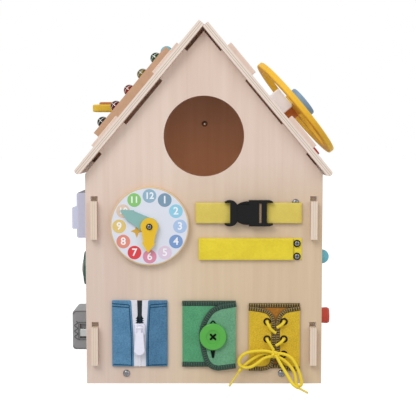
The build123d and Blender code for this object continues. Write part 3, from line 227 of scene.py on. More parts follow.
def finish_material(name, outputs_of, bump=0.1, **constants):
    """Principled material fed by a group: Color, Roughness and Height."""
    material, tree, surface = bare_material(name)
    shader = tree.nodes.new("ShaderNodeBsdfPrincipled")
    results = outputs_of(tree)
    put(tree, shader.inputs["Base Color"], results["Color"])
    put(tree, shader.inputs["Roughness"], results["Roughness"])
    relief = tree.nodes.new("ShaderNodeBump")
    relief.inputs["Strength"].default_value = bump
    relief.inputs["Distance"].default_value = relief_depth
    put(tree, relief.inputs["Height"], results["Height"])
    put(tree, shader.inputs["Normal"], relief.outputs[0])
    for label, value in constants.items():
        shader.inputs[label.replace("_", " ")].default_value = value
    put(tree, surface, shader.outputs[0])
    return material


# ---- Lace ----
# Round braided polyester lace, 3.8 mm thick. It crosses between the eyelets, is tied in a bow
# below the lowest pair, and its two tails end in short clear tips.
braid, given, result = group_tree("Braid", Color=tone("#FFE93C"), Shade=tone("#E0BC22"))
x, _, z = axes_of(braid, object_place(braid))
plait_pitch = 2 * math.pi / (1.6 * mm)
waves = [
    calc(braid, "SINE", calc(braid, "MULTIPLY", calc(braid, slant, x, z), plait_pitch))
    for slant in ("ADD", "SUBTRACT")
]
plait = line_of(braid, calc(braid, "MULTIPLY", *waves), 0.5, 0.5)
put(braid, result["Color"], blend_colours(braid, plait, given["Shade"], given["Color"]))
put(braid, result["Height"], plait)
put(braid, result["Roughness"], line_of(braid, plait, -0.1, 0.85))


def use_group(tree, group, **values):
    """Node group in a material with its own values; its outputs."""
    node = tree.nodes.new("ShaderNodeGroup")
    node.node_tree = group
    for label, value in values.items():
        put(tree, node.inputs[label.replace("_", " ")], value)
    return node.outputs


lace_material = finish_material("yellow lace", lambda tree: use_group(tree, braid), bump=0.6)
lace_radius = 1.9
lace_tip_radius, lace_tip_overlap = 1.3, 1.5


def as_mesh(data):
    """Mesh of a curve or a text, as it shows."""
    holder = bpy.data.objects.new("holder", data)
    scene.collection.objects.link(holder)
    bpy.context.view_layer.update()
    shown = holder.evaluated_get(bpy.context.evaluated_depsgraph_get())
    mesh = bpy.data.meshes.new_from_object(shown)
    bpy.data.objects.remove(holder)
    return mesh


def lace_curve(name, route, instead_of=(), closed=False):
    """Round lace along a route in millimetres, as a smooth curve with closed ends."""
    data = bpy.data.curves.new(name, "CURVE")
    data.dimensions = "3D"
    data.bevel_depth = lace_radius * mm
    data.bevel_resolution = 5
    data.resolution_u = 10
    data.use_fill_caps = True
    spline = data.splines.new("NURBS")
    spline.points.add(len(route) - 1)
    for point, (x, y, z) in zip(spline.points, route):
        point.co = (x * mm, y * mm, z * mm, 1)
    spline.order_u = 3
    spline.use_endpoint_u = not closed
    spline.use_cyclic_u = closed
    spline.resolution_u = 10
    if closed:
        data = as_mesh(data)
    return new_piece(name, data, lace_material, "lace", instead_of=instead_of)


def curve_length(route):
    """Length in metres of the smooth curve that a route gives, from its even steps."""
    points = [Vector(p) for p in route]
    middles = [(a + b) / 2 for a, b in zip(points[1:-2], points[2:-1])]
    middles = [points[0], *middles, points[-1]]
    total, steps = 0, 32
    for start, bend, end in zip(middles, points[1:-1], middles[1:]):
        last = start
        for step in range(1, steps + 1):
            t = step / steps
            here = start * (1 - t) ** 2 + bend * 2 * t * (1 - t) + end * t * t
            total += (here - last).length
            last = here
    return total * mm


def rod(bm, first, last, radius, segments=6, end_radius=None):
    """Closed round bar from one point to another, in millimetres."""
    first, last = Vector(first), Vector(last)
    corners = bmesh.ops.create_cone(
        bm, cap_ends=True, segments=segments, radius1=radius * mm,
        radius2=(end_radius or radius) * mm, depth=(last - first).length * mm,
    )["verts"]
    turn = (last - first).to_track_quat("Z", "Y").to_matrix().to_4x4()
    seat = Matrix.Translation((first + last) / 2 * mm) @ turn
    bmesh.ops.transform(bm, matrix=seat, verts=corners)


left_loop_route = (
    (86.0, -138.0, 40.7), (78.5, -138.6, 43.0), (70.0, -138.9, 43.4), (61.0, -138.9, 42.9),
    (52.3, -138.9, 41.2), (45.6, -138.9, 36.9), (42.4, -138.9, 30.4), (44.2, -138.9, 24.6),
    (50.3, -138.9, 22.1), (57.6, -138.9, 23.0), (64.4, -138.8, 27.0), (70.7, -138.7, 32.2),
    (77.6, -138.4, 36.1), (86.0, -138.0, 36.6),
)
right_loop_route = (
    (88.0, -138.0, 40.5), (96.5, -138.4, 39.8), (104.4, -139.6, 37.3), (110.3, -141.8, 31.4),
    (114.8, -144.6, 22.0), (118.4, -147.8, 12.0), (119.0, -150.2, 2.6), (112.0, -149.4, 2.6),
    (112.0, -146.6, 11.4), (110.3, -144.0, 18.4), (106.0, -141.4, 24.6),
    (100.6, -139.4, 29.8), (94.4, -138.3, 34.4), (88.0, -138.0, 36.3),
)
left_tail_route = (
    (85.0, -134.3, 38.4), (77.4, -134.0, 39.3), (70.4, -133.9, 38.2), (63.8, -133.8, 34.7),
    (57.2, -133.8, 30.2), (51.6, -134.0, 25.9), (46.7, -135.0, 22.15), (43.2, -137.6, 17.6),
)
right_tail_route = (
    (88.0, -141.6, 38.5), (91.2, -143.6, 32.4), (95.2, -147.4, 25.6), (100.0, -152.8, 18.6),
    (104.4, -160.2, 11.6), (107.6, -165.7, 7.25), (112.6, -169.4, 5.4),
)
crossing_routes = (
    ((77.6, -131.8, 78.2), (78.0, -135.9, 76.6), (82.6, -135.9, 67.8), (88.0, -133.9, 64.6)),
    ((98.3, -131.8, 78.2), (97.6, -135.6, 77.2), (93.4, -135.6, 73.4), (89.9, -133.9, 71.4)),
    ((77.6, -131.8, 56.6), (77.9, -136.0, 55.6), (82.2, -136.2, 48.6), (85.4, -136.2, 43.5)),
    ((98.3, -131.8, 56.6), (97.2, -135.6, 55.8), (92.6, -135.6, 51.2), (88.7, -133.9, 49.0)),
)

clear_tip, tree, surface = bare_material("lace tip")
tip_shader = tree.nodes.new("ShaderNodeBsdfPrincipled")
tip_shader.inputs["Base Color"].default_value = tone("#DDC33A")
tip_shader.inputs["Roughness"].default_value = 0.25
put(tree, surface, tip_shader.outputs[0])
for side, route, tip_length in (("left", left_tail_route, 22.4), ("right", right_tail_route, 14.2)):
    end = Vector(route[-1])
    heading = (end - Vector(route[-2])).normalized()
    bm = bmesh.new()
    rod(bm, end - heading * lace_tip_overlap, end + heading * tip_length, lace_tip_radius, 20)
    rim = [edge for face in bm.faces if len(face.verts) > 4 for edge in face.edges]
    bmesh.ops.bevel(
        bm, geom=rim, offset=0.3 * mm, segments=2, profile=0.5, affect="EDGES", material=-1
    )
    make_piece(
        f"lace_tip_{side}", bm, clear_tip, "aglet_plastic",
        instead_of=["aglets"] if side == "left" else [],
    )

for kind, side, route, far_end in (
    ("tail", "left", left_tail_route, "fitting"),
    ("tail", "right", right_tail_route, "fitting"),
    ("loop", "left", left_loop_route, "object"),
    ("loop", "right", right_loop_route, "object"),
):
    lace_curve(f"{kind}_{side}", route, [f"lace_{kind}_{side}"])
    curve_length(route)

for index, route in enumerate(crossing_routes, start=1):
    lace_curve(f"crossing_{index}", route)

knot_middle = Vector((87.0, -138.2, 38.6))
knot_steps = 72
knot_route = []
for step in range(knot_steps):
    angle = 2 * math.pi * step / knot_steps
    reach = 2.0 + 0.95 * math.cos(3 * angle)
    x, z = 1.35 * reach * math.cos(2 * angle), 1.15 * reach * math.sin(2 * angle)
    knot_route.append(knot_middle + Vector((x, 1.7 * math.sin(3 * angle), z)))
lace_curve("bow_knot", knot_route, ["lacing"], closed=True)

# ---- Plywood house ----
# Birch plywood, 8 mm, laser-cut and clear-lacquered. The walls' hooks and the gables' tabs
# slot together; the dark glue lines show on every cut edge.
birch, given, result = group_tree(
    "Birch plywood", Grain=None, Layer=0.0, Pale=tone("#E8D5C9"), Dark=tone("#CFB3A0"),
    Edge=tone("#E9DDD2"), Lines=0.75, Tint=(1, 1, 1, 1),
)
streaks = noise_of(birch, given["Grain"], 16, (1, 1, 0.1), 6)
fibres = noise_of(birch, given["Grain"], 300, (1, 1, 0.035), 3)
clouds = noise_of(birch, given["Grain"], 5, (1, 1, 0.5), 2)
flames = noise_of(birch, given["Grain"], 7, (1, 1, 0.3), 2)
across = axes_of(birch, given["Grain"])[1]
rings = line_of(birch, flames, 26, calc(birch, "MULTIPLY", across, 420))
share = line_of(birch, streaks, 1.1, -0.35)
share = line_of(birch, calc(birch, "SINE", rings), 0.035, share)
share = line_of(birch, fibres, 0.4, share)
share = line_of(birch, clouds, 0.9, calc(birch, "SUBTRACT", share, 0.5), clamp=True)
veneer = blend_colours(birch, share, given["Pale"], given["Dark"])
from_middle = calc(birch, "ABSOLUTE", calc(birch, "SUBTRACT", given["Layer"], 0.5))
cut_edge = calc(birch, "MULTIPLY", calc(birch, "SUBTRACT", 0.5, from_middle), 30, clamp=True)
off_joint = calc(birch, "ABSOLUTE", calc(birch, "SUBTRACT", from_middle, 0.15))
glue = line_of(birch, off_joint, -16, 1.0, clamp=True)
cream = blend_colours(birch, calc(birch, "MULTIPLY", cut_edge, 0.55), veneer, given["Edge"])
line_share = calc(birch, "MULTIPLY", glue, given["Lines"])
lined = blend_colours(birch, line_share, cream, tone("#A5907F"))
put(birch, result["Color"], blend_colours(birch, 1.0, lined, given["Tint"], "MULTIPLY"))
put(birch, result["Roughness"], line_of(birch, fibres, 0.15, 0.42))
put(birch, result["Height"], line_of(birch, glue, -0.4, fibres))

ply_thickness = 8 * mm


def warm_foot(tree):
    """Tint of a veneer: painted shade, warmer and a little darker to its lower right."""
    x, _, z = axes_of(tree, object_place(tree))
    low = line_of(tree, z, -13, 3.6, clamp=True)
    right = line_of(tree, x, 9, 1.0, clamp=True)
    dimmed = blend_colours(tree, low, tone("#FFFFFF"), tone("#F7F6F6"))
    return blend_colours(tree, calc(tree, "MULTIPLY", low, right), dimmed, tone("#F4F0DA"))


def no_tint(tree):
    """White, for a veneer of one tone."""
    return tone("#FFFFFF")


def dress(name, material):
    """CAD node shown as it is, in this material."""
    parts[name].data.materials.clear()
    parts[name].data.materials.append(material)


def dress_birch(name, outward, grain, edge="#E9DDD2", lines=0.75, tint_of=no_tint):
    """CAD node of plywood whose outer face looks outward, with its grain along grain."""
    outward, grain = Vector(outward).normalized(), Vector(grain)
    outer_face = max(outward.dot(vertex.co) for vertex in parts[name].data.vertices)

    def outputs_of(tree):
        place = object_place(tree)
        vector = tree.nodes.new("ShaderNodeCombineXYZ")
        for socket, axis in zip(vector.inputs, (outward, outward.cross(grain), grain)):
            dot = tree.nodes.new("ShaderNodeVectorMath")
            dot.operation = "DOT_PRODUCT"
            put(tree, dot.inputs[0], place)
            dot.inputs[1].default_value = axis
            put(tree, socket, dot.outputs["Value"])
        depth = calc(tree, "SUBTRACT", outer_face, axes_of(tree, vector.outputs[0])[0])
        layer = calc(tree, "DIVIDE", depth, ply_thickness)
        return use_group(
            tree, birch, Grain=vector.outputs[0], Layer=layer, Edge=tone(edge), Lines=lines,
            Tint=tint_of(tree),
        )

    look = {"bump": 0.12, "Coat_Weight": 0.15, "Coat_Roughness": 0.3}
    dress(name, finish_material(f"{name} birch", outputs_of, **look))


slope = math.radians(50)
roof_out = {side: Vector((side * math.sin(slope), 0, math.cos(slope))) for side in (-1, 1)}
upright, lengthwise = (0, 0, 1), (0, 1, 0)
# The front panel's veneer carries painted shade, warmer and darker towards its lower right.
dress_birch("front_panel", (0, -1, 0), upright, tint_of=warm_foot)
dress_birch("back_panel", (0, 1, 0), upright)
for side, name in ((-1, "left"), (1, "right")):
    dress_birch(f"{name}_wall", (side, 0, 0), upright, "#E6D5BE", 0.4)
    dress_birch(f"{name}_roof", roof_out[side], lengthwise, lines=0.95)
dress_birch("base_board", (0, 0, 1), (1, 0, 0))
dress_birch("side_door", (1, 0, 0), lengthwise)

inside = bpy.data.lights.new("glow inside", "AREA")
inside.energy = 0.03
inside.color = (1.0, 0.42, 0.16)
inside.size = 0.16
inside.spread = math.radians(120)
stage_object("glow inside", inside, (0, -0.03, 0.24), (math.radians(90), 0, 0))

# ---- Metal fittings ----
# Zinc-plated pan-head screws, bolts, wire and hinges, a little uneven in their plating. The
# strap's screws sit in black cups, with a dark cross of painted shade in their recesses, and black
# enamelled eyelets are pressed into the lace square.
plain, given, result = group_tree(
    "Even finish", Color=tone("#808080"), Roughness=0.4, Mottle=0.1, Scale=90.0
)
texture = plain.nodes.new("ShaderNodeTexNoise")
texture.inputs["Detail"].default_value = 4
put(plain, texture.inputs["Scale"], given["Scale"])
put(plain, texture.inputs["Vector"], object_place(plain))
uneven = calc(plain, "SUBTRACT", texture.outputs["Fac"], 0.5)
mottle = calc(plain, "MULTIPLY", uneven, given["Mottle"])
brightness = plain.nodes.new("ShaderNodeHueSaturation")
put(plain, brightness.inputs["Color"], given["Color"])
put(plain, brightness.inputs["Value"], line_of(plain, mottle, 2.0, 1.0))
put(plain, result["Color"], brightness.outputs[0])
put(plain, result["Roughness"], calc(plain, "ADD", given["Roughness"], mottle))
put(plain, result["Height"], texture.outputs["Fac"])


def even_material(name, colour, roughness=0.4, mottle=0.1, scale=90.0, bump=0.05, **constants):
    """One-colour material with a little variation."""
    look = {"Color": tone(colour), "Roughness": roughness, "Mottle": mottle, "Scale": scale}
    return finish_material(name, lambda tree: use_group(tree, plain, **look), bump, **constants)


zinc = even_material("zinc plate", "#A5A5A4", 0.25, 0.12, 400, Metallic=1.0)
black_enamel = even_material("black enamel", "#050506", 0.5, 0.1, 400, Specular_IOR_Level=0.15)
for name in ("pivots", "door_leaves", "wall_leaves", "latch_slider"):
    dress(name, zinc)
screw_metal = even_material("dull zinc plate", "#7E7E80", 0.28, 0.12, 400, Metallic=1.0)
dress("steel_screws", screw_metal)
dress("black_screws", screw_metal)


def separate_boxes(name):
    """Low and high corner of each separate solid of a CAD node."""
    bm = bmesh.new()
    bm.from_mesh(parts[name].data)
    bmesh.ops.remove_doubles(bm, verts=bm.verts, dist=0.01 * mm)
    left, found = set(bm.verts), []
    while left:
        group, edge = [], [left.pop()]
        while edge:
            vertex = edge.pop()
            group.append(vertex.co.copy())
            for link in vertex.link_edges:
                other = link.other_vert(vertex)
                if other in left:
                    left.remove(other)
                    edge.append(other)
        found.append([Vector(pick(axis) for axis in zip(*group)) for pick in (min, max)])
    bm.free()
    return sorted(found, key=lambda corners: tuple(corners[0]))


def join_rows(bm, rows, closed=False):
    """Faces from each row of corners to the next; closed rows join their ends as well."""
    for first, second in zip(rows, rows[1:]):
        for step in range(0 if closed else 1, len(first)):
            bm.faces.new((first[step - 1], first[step], second[step], second[step - 1]))


def block(bm, middle, size, turn=Matrix()):
    """Box about a middle, in millimetres."""
    corners = bmesh.ops.create_cube(bm, size=1)["verts"]
    seat = Matrix.Translation(Vector(middle) * mm) @ turn @ Matrix.Diagonal((*size, 1))
    seat = seat @ Matrix.Scale(mm, 4)
    bmesh.ops.transform(bm, matrix=seat, verts=corners)


# Share of the screw head's radius, and millimetres behind its front.
cup_profile = ((1.02, 2.6), (1.02, 1.65), (0.88, 0.9), (0.72, 0.3), (0.7, 0.5))
cup_corners = 32
cups = bmesh.new()
for low, high in separate_boxes("black_screws"):
    radius = (high.x - low.x) / 2 / mm
    middle = (low + high) / 2 / mm
    middle.y = low.y / mm
    rows = []
    for share, rise in cup_profile:
        row = []
        for step in range(cup_corners):
            angle = 2 * math.pi * step / cup_corners
            spoke = Vector((math.cos(angle), 0, math.sin(angle))) * radius * share
            row.append(cups.verts.new((middle + spoke + Vector((0, rise, 0))) * mm))
        rows.append(row)
    join_rows(cups, rows, closed=True)
    # A dark cross on each screw head: painted shade in its cross recess.
    for turn in (20, 110):
        block(cups, middle, (radius * 0.8, 0.2, 0.5), Matrix.Rotation(math.radians(turn), 4, "Y"))
bmesh.ops.recalc_face_normals(cups, faces=cups.faces)
make_piece("screw_cups", cups, black_enamel, "black_steel", False)
dress("lace_eyelets", black_enamel)

# ---- Painted wooden pieces ----
# Birch plywood and beech, sprayed in water-based satin colours, glued on or turning on pins:
# hands, paddles, wheel, cap, spacer, knobs, block, plate and spinner.
for name, colour in (
    ("clock_face", "#D9BE95"), ("minute_hand", "#8BB5B2"), ("hour_hand", "#E9BE2E"),
    ("door_knob", "#74C4D3"), ("turn_knob", "#DA5848"), ("track_peg", "#6DB5C4"),
    ("yellow_paddle", "#E2B93B"), ("orange_paddle", "#B8743F"), ("steering_wheel", "#F0BE34"),
    ("wheel_cap", "#7F9BB5"), ("wheel_spacer", "#D98545"), ("white_block", "#F8F7FB"),
    ("red_plate", "#B8453A"), ("back_spinner", "#8BB5B2"),
):
    paint = even_material(f"{name} paint", colour, 0.55, 0.06, 60, 0.08, Specular_IOR_Level=0.3)
    dress(name, paint)

rail_wood = even_material("bare beech", "#C39C7D", 0.55, 0.16, 120, 0.15)
dress("roof_mounts", rail_wood)

# ---- Clock dial ----
# A printed paper face and twelve round stickers near its rim, each in its own colour with a
# bold white number, glued to the clock's wooden disc.


def box_mm(name):
    """Low and high corner of a CAD node, in millimetres."""
    return [[value / mm for value in corner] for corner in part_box(name)]


def middle_of(low, high):
    """Middle between two corners."""
    return [(a + b) / 2 for a, b in zip(low, high)]


clock_low, clock_high = box_mm("clock_face")
clock_centre = Vector(middle_of(clock_low, clock_high))
clock_centre.y = clock_low[1]
badge_ring, print_radius = 37.0, 46.3
badge_radius, badge_thickness = 8.4, 0.2
to_front = Matrix.Rotation(math.radians(90), 4, "X")
bm = bmesh.new()
bmesh.ops.create_circle(bm, cap_ends=True, segments=96, radius=print_radius * mm)
face_place = (clock_centre - Vector((0, 0.06, 0))) * mm
bmesh.ops.transform(bm, matrix=Matrix.Translation(face_place) @ to_front, verts=bm.verts)
printed_face = even_material("printed dial", "#DCE0EC", 0.4, 0.02)
make_piece("dial_print", bm, printed_face, "lilac_wood", False)

star_centre = clock_centre + Vector((-15.6, -0.12, -5.9))
star_reach = (8.4, 3.2, 7.6, 3.2)
star = bmesh.new()
points = []
for point in range(8):
    turn = math.radians(45 * point)
    spoke = Vector((math.sin(turn), 0, math.cos(turn))) * star_reach[point % 4]
    points.append(star.verts.new((star_centre + spoke) * mm))
star.faces.new(points)
star_print = even_material("gold print", "#D6A53C", 0.45, 0.05)
make_piece("dial_star", star, star_print, "yellow_wood", False)

number_paint = even_material("white numbers", "#F2F4F8", 0.5, 0.0)
badge_colours = (
    "#7795AC", "#8FCBE3", "#A9C3E6", "#7799CB", "#DCC8DC", "#DA89A3",
    "#D93A3F", "#DF8A77", "#DFC272", "#DDC5B0", "#85C36D", "#8FB1C6",
)
for hour, colour in enumerate(badge_colours, start=1):
    angle = math.radians(90 - 30 * hour)
    centre = clock_centre + Vector((math.cos(angle), 0, math.sin(angle))) * badge_ring
    front = centre - Vector((0, badge_thickness, 0))
    bm = bmesh.new()
    rod(bm, centre, front, badge_radius, 48, badge_radius - 0.15)
    badge_paint = even_material(f"badge {hour} colour", colour, 0.4, 0.02)
    make_piece(f"badge_{hour}", bm, badge_paint, "lilac_wood", False)

    figure = bpy.data.curves.new(f"number_{hour}", "FONT")
    figure.body = str(hour)
    figure.size = (12.6 if hour < 10 else 11.0) * mm
    figure.align_x = "CENTER"
    figure.align_y = "CENTER"
    figure.extrude = 0.03 * mm
    figure.offset = 0.28 * mm
    number_mesh = as_mesh(figure)
    seat = Matrix.Translation((front - Vector((0, 0.02, 0))) * mm)
    number_mesh.transform(seat @ to_front)
    new_piece(f"number_{hour}", number_mesh, number_paint, "white_wood")

# ---- Plastic pieces ----
# Injection-moulded parts, screwed or clipped on: buckle halves, button, switch box and key, dial
# and cap, latch case. A grey plate on the switch's top is painted shade of the roof's eave, and
# the latch case has a dark relief whose outline is painted shade of a groove.
for name, colour, roughness, specular in (
    ("buckle_socket", "#030304", 0.28, 0.2), ("buckle_plug", "#030304", 0.28, 0.2),
    ("button", "#4CA83A", 0.3, 0.5), ("latch_case", "#8E8E90", 0.45, 0.5),
    ("switch_box", "#C9CBE0", 0.5, 0.5), ("switch_key", "#D3D4E6", 0.45, 0.5),
    ("turn_dial", "#335C54", 0.35, 0.4), ("dial_cap", "#BE2636", 0.3, 0.4),
):
    look = (colour, roughness, 0.03, 200, 0.03)
    dress(name, even_material(f"{name} plastic", *look, Specular_IOR_Level=specular))
cap_low, cap_high = box_mm("dial_cap")
_, ring_y, ring_z = middle_of(cap_low, cap_high)
bm = bmesh.new()
rod(bm, (cap_high[0] - 1.05, ring_y, ring_z), (cap_high[0] + 0.05, ring_y, ring_z), 10.4, 64)
ring_plastic = even_material("dial ring plastic", "#E4E2DC", 0.4, 0.02)
make_piece("dial_ring", bm, ring_plastic, "red_plastic", False, body="dial")

switch_low, switch_high = box_mm("switch_box")
switch_x, switch_y, _ = middle_of(switch_low, switch_high)
# A thin grey plate on the switch box's top: painted shade under the roof's eave.
bm = bmesh.new()
top_size = (switch_high[0] - switch_low[0] - 2.2, switch_high[1] - switch_low[1] - 4.2, 0.3)
block(bm, (switch_x + 0.9, switch_y, switch_high[2] + 0.1), top_size)
painted_shade_top = even_material("switch top in painted shade", "#77777C", 0.6, 0.05)
make_piece("switch_top_shade", bm, painted_shade_top, "lavender_plastic", False)

(left, latch_y, foot), (right, _, head) = box_mm("latch_case")
window_left, window_foot, window_head = left + 8.6, 42.4, 65.2
coil_x, coil_top, coil_step = left + 5.2, 66.5, 1.05
left, right, foot, head = left + 1.2, right - 2, foot + 1.4, head - 1.4
outline = [
    (left, foot + 3.5), (left + 1.2, foot + 1.0), (left + 4, foot), (right, foot),
    (right, head), (left + 4, head), (left + 1.2, head - 1.2), (left, head - 3.5),
]
window_frame = [
    (right, window_foot), (window_left, window_foot), (window_left, window_head),
    (right, window_head),
]
coil = [(coil_x + 2.2 * math.sin(0.9 * i), coil_top - coil_step * i) for i in range(24)]
bm = bmesh.new()
# Dark rods on the latch case: the outline is painted shade of the bezel groove; the window frame
# and the coil are the case's own dark detail.
for route, radius in ((outline, 0.32), (window_frame, 0.5), (coil, 0.55)):
    for (x1, z1), (x2, z2) in zip(route, route[1:]):
        rod(bm, (x1, latch_y - 0.05, z1), (x2, latch_y - 0.05, z2), radius)
dark_relief = even_material("dark latch relief", "#4B4B4D", 0.5, 0.05)
make_piece("latch_relief", bm, dark_relief, "grey_plastic")

# ---- Bells ----
# Pressed jingle bells in dark enamel on a wire, each with a loose ball inside. Bright metal bands
# along the edges of their crossed slits are painted highlight.
bell_tilt = math.radians(60)
bell_out = roof_out[-1] * math.cos(bell_tilt) + Vector((0, -math.sin(bell_tilt), 0))
bell_down = Vector((-math.cos(slope), 0, -math.sin(slope)))
bell_across = bell_out.cross(bell_down)
bell_radius, bell_bottom = 7.2, 7.1
slit_section = ((-0.5, -0.3), (0.05, -0.3), (0.05, 0.3), (-0.5, 0.3))
slit_half_turn, slit_steps = 62, 24
slit_highlight = even_material("bell slit painted highlight", "#DEDCD4", 0.3, 0.05, 300, Metallic=0.4)
for name, colour, metal in (
    ("bell_green", "#1F4526", 0.75),
    ("bell_yellow", "#6E5C1A", 0.75),
    ("bell_red", "#7A1610", 0.75),
    ("bell_crimson", "#580C1C", 0.75),
    ("bell_silver", "#232425", 0.9),
):
    dress(name, even_material(f"{name} enamel", colour, 0.16, 0.05, 300, 0.03, Metallic=metal))
    corners = [vertex.co / mm for vertex in parts[name].data.vertices]
    centre = bell_out * (max(bell_out.dot(corner) for corner in corners) - bell_bottom)
    for way in (bell_down, bell_across):
        run = [way.dot(corner) for corner in corners]
        centre += way * (min(run) + max(run)) / 2
    # Bright bands along each bell's crossed slits: painted highlight.
    bm = bmesh.new()
    for way, flank in ((bell_down, bell_across), (bell_across, bell_down)):
        rows = []
        for step in range(slit_steps + 1):
            angle = math.radians(slit_half_turn * (2 * step / slit_steps - 1))
            spoke = bell_out * math.cos(angle) + way * math.sin(angle)
            row = []
            for rise, shift in slit_section:
                spot = centre + spoke * (bell_radius + rise) + flank * shift
                row.append(bm.verts.new(spot * mm))
            rows.append(row)
        join_rows(bm, rows, closed=True)
    bmesh.ops.recalc_face_normals(bm, faces=bm.faces)
    make_piece(f"{name}_edges", bm, slit_highlight, name, False, body=name)

# ---- Straps ----
# Woven webbing, screwed to the panel. The buckle's two ends and the hook-and-loop strap are
# folded under where they are held, and lie almost flat.
weave, given, result = group_tree(
    "Weave", Color=tone("#808080"), Shade=tone("#404040"), Pitch=0.0009, Fuzz=0.3, Twill=0.0
)
place = object_place(weave)
x, _, z = axes_of(weave, place)
turns = calc(weave, "DIVIDE", 2 * math.pi, given["Pitch"])
lean = line_of(weave, z, given["Twill"], x)
warp, weft = (calc(weave, "SINE", calc(weave, "MULTIPLY", way, turns)) for way in (lean, z))
threads = line_of(weave, calc(weave, "MULTIPLY", warp, weft), 0.5, 0.5)
fuzz_noise = noise_of(weave, place, 700, detail=3)
patches = noise_of(weave, place, 60, detail=3)
off_middle = calc(weave, "SUBTRACT", fuzz_noise, 0.5)
fluff = calc(weave, "MULTIPLY", off_middle, calc(weave, "MULTIPLY", given["Fuzz"], 2.2))
light = line_of(weave, patches, 0.7, line_of(weave, threads, 0.3, 0.08))
light = calc(weave, "ADD", light, fluff, clamp=True)
put(weave, result["Color"], blend_colours(weave, light, given["Shade"], given["Color"]))
put(weave, result["Roughness"], line_of(weave, fuzz_noise, 0.1, 0.82))
put(weave, result["Height"], line_of(weave, fuzz_noise, given["Fuzz"], threads))


def cloth_material(name, colour, shade, pitch=0.0009, fuzz=0.3, twill=0.0, bump=0.35):
    """Woven or felted cloth in two tones."""
    look = {"Color": tone(colour), "Shade": tone(shade), "Pitch": pitch}
    look |= {"Fuzz": fuzz, "Twill": twill}
    return finish_material(
        name, lambda tree: use_group(tree, weave, **look), bump, Sheen_Weight=0.15
    )


def thicken(made, thickness, offset, softness, segments):
    """Thickness and soft edges of a cloth piece, in millimetres."""
    shell = made.modifiers.new("thickness", "SOLIDIFY")
    shell.thickness = thickness * mm
    shell.offset = offset
    soften = made.modifiers.new("soft edges", "BEVEL")
    soften.width = softness * mm
    soften.segments = segments


def ribbon(name, path, centre_z, width, thickness, material, slot_name, **where):
    """Flat strap along a path of X, Y points in millimetres, upright, with soft edges."""
    bm = bmesh.new()
    columns, rows = [], 9
    for index, (x, y) in enumerate(path):
        column = []
        for row in range(rows):
            z = centre_z + width * (row / (rows - 1) - 0.5)
            ripple = 0.12 * noise.noise(Vector((x * 0.15, index * 0.1, z * 0.2)))
            column.append(bm.verts.new((x * mm, (y + ripple) * mm, z * mm)))
        columns.append(column)
    join_rows(bm, columns[::-1])
    made = make_piece(name, bm, material, slot_name, **where)
    thicken(made, thickness, 0, 0.3, 2)


def eased_path(start, end, steps):
    """Points between two, evenly."""
    first, last = Vector(start), Vector(end)
    return [tuple(first.lerp(last, step / steps)) for step in range(steps + 1)]


webbing = cloth_material("buckle webbing", "#E8D568", "#C9AE4A", 0.0016, 0.25)
front_y = -128.0
(_, _, strap_foot), (_, _, strap_top) = box_mm("buckle_strap_left")
strap_z, strap_width = (strap_foot + strap_top) / 2, strap_top - strap_foot
strap_y = front_y - 3.9
left_path = [(-9.4, front_y - 0.4), (-9.9, front_y - 1.6), (-9.7, front_y - 2.9), (-8.2, strap_y)]
left_path += eased_path((-5.0, strap_y), (33.6, strap_y), 16)
right_path = eased_path((76.6, strap_y), (114.0, strap_y), 16)
right_path += [(117.4, strap_y + 0.2), (119.0, front_y - 2.7)]
right_path += [(119.0, front_y - 1.5), (118.4, front_y - 0.4)]
for side, path in (("left", left_path), ("right", right_path)):
    ribbon(
        f"strap_{side}", path, strap_z, strap_width, 1.4, webbing, "webbing",
        instead_of=[f"buckle_strap_{side}"],
    )

# Webbing seen in the buckle's slot, darker than the strap: painted shade inside the slot.
bm = bmesh.new()
block(bm, (68.5, front_y - 8.6, strap_z), (2.8, 0.8, strap_width - 1))
shaded_slot_webbing = cloth_material("webbing in the slot, in painted shade", "#A78F72", "#8A7458", 0.0016, 0.25)
make_piece("strap_in_slot", bm, shaded_slot_webbing, "webbing", False)

velcro = cloth_material("hook-and-loop webbing", "#F5E23C", "#CFB41C", 0.0022, 0.4)
velcro_width = 26.4
(base_left, _, base_foot), (base_right, _, base_top) = box_mm("velcro_base")
base_z = (base_foot + base_top) / 2
base_path = eased_path((base_left, front_y - 0.6), (base_right, front_y - 0.6), 24)
ribbon(
    "fastener_base", base_path, base_z, velcro_width, 1.2, velcro, "yellow_velcro",
    instead_of=["velcro_base"],
)
(flap_left, flap_front, _), (flap_right, flap_back, _) = box_mm("velcro_flap")
flap_y = (flap_front + flap_back) / 2
flap_right -= 1.5
layer_gap, bend_radius = 0.8, 0.75
outer = eased_path((flap_left, flap_y - layer_gap), (flap_right, flap_y - layer_gap), 24)
bend = [
    (flap_right + bend_radius * math.sin(a), flap_y - bend_radius * math.cos(a))
    for a in [math.radians(30 * i) for i in range(1, 6)]
]
inner = eased_path((flap_right, flap_y + layer_gap), (flap_left, flap_y + layer_gap), 24)
ribbon(
    "fastener_flap", outer + bend + inner, base_z, velcro_width, 1.3, velcro, "yellow_velcro",
    body="velcro_flap", instead_of=["velcro_flap"],
)

# ---- Zipper square ----
# Light blue denim in two halves beside a white zipper, glued to the panel and top-stitched in
# navy. The slider and its pull are cast metal, enamelled white.


def resample(route, count):
    """Evenly spaced X, Z points along a route of X, Z points."""
    points = [Vector(point) for point in route]
    runs = [(b - a).length for a, b in zip(points, points[1:])]
    found, index, passed = [], 0, 0.0
    for step in range(count):
        target = sum(runs) * step / (count - 1)
        while index < len(runs) - 1 and passed + runs[index] < target:
            passed += runs[index]
            index += 1
        share = min(1.0, (target - passed) / runs[index])
        found.append(points[index].lerp(points[index + 1], share))
    return found


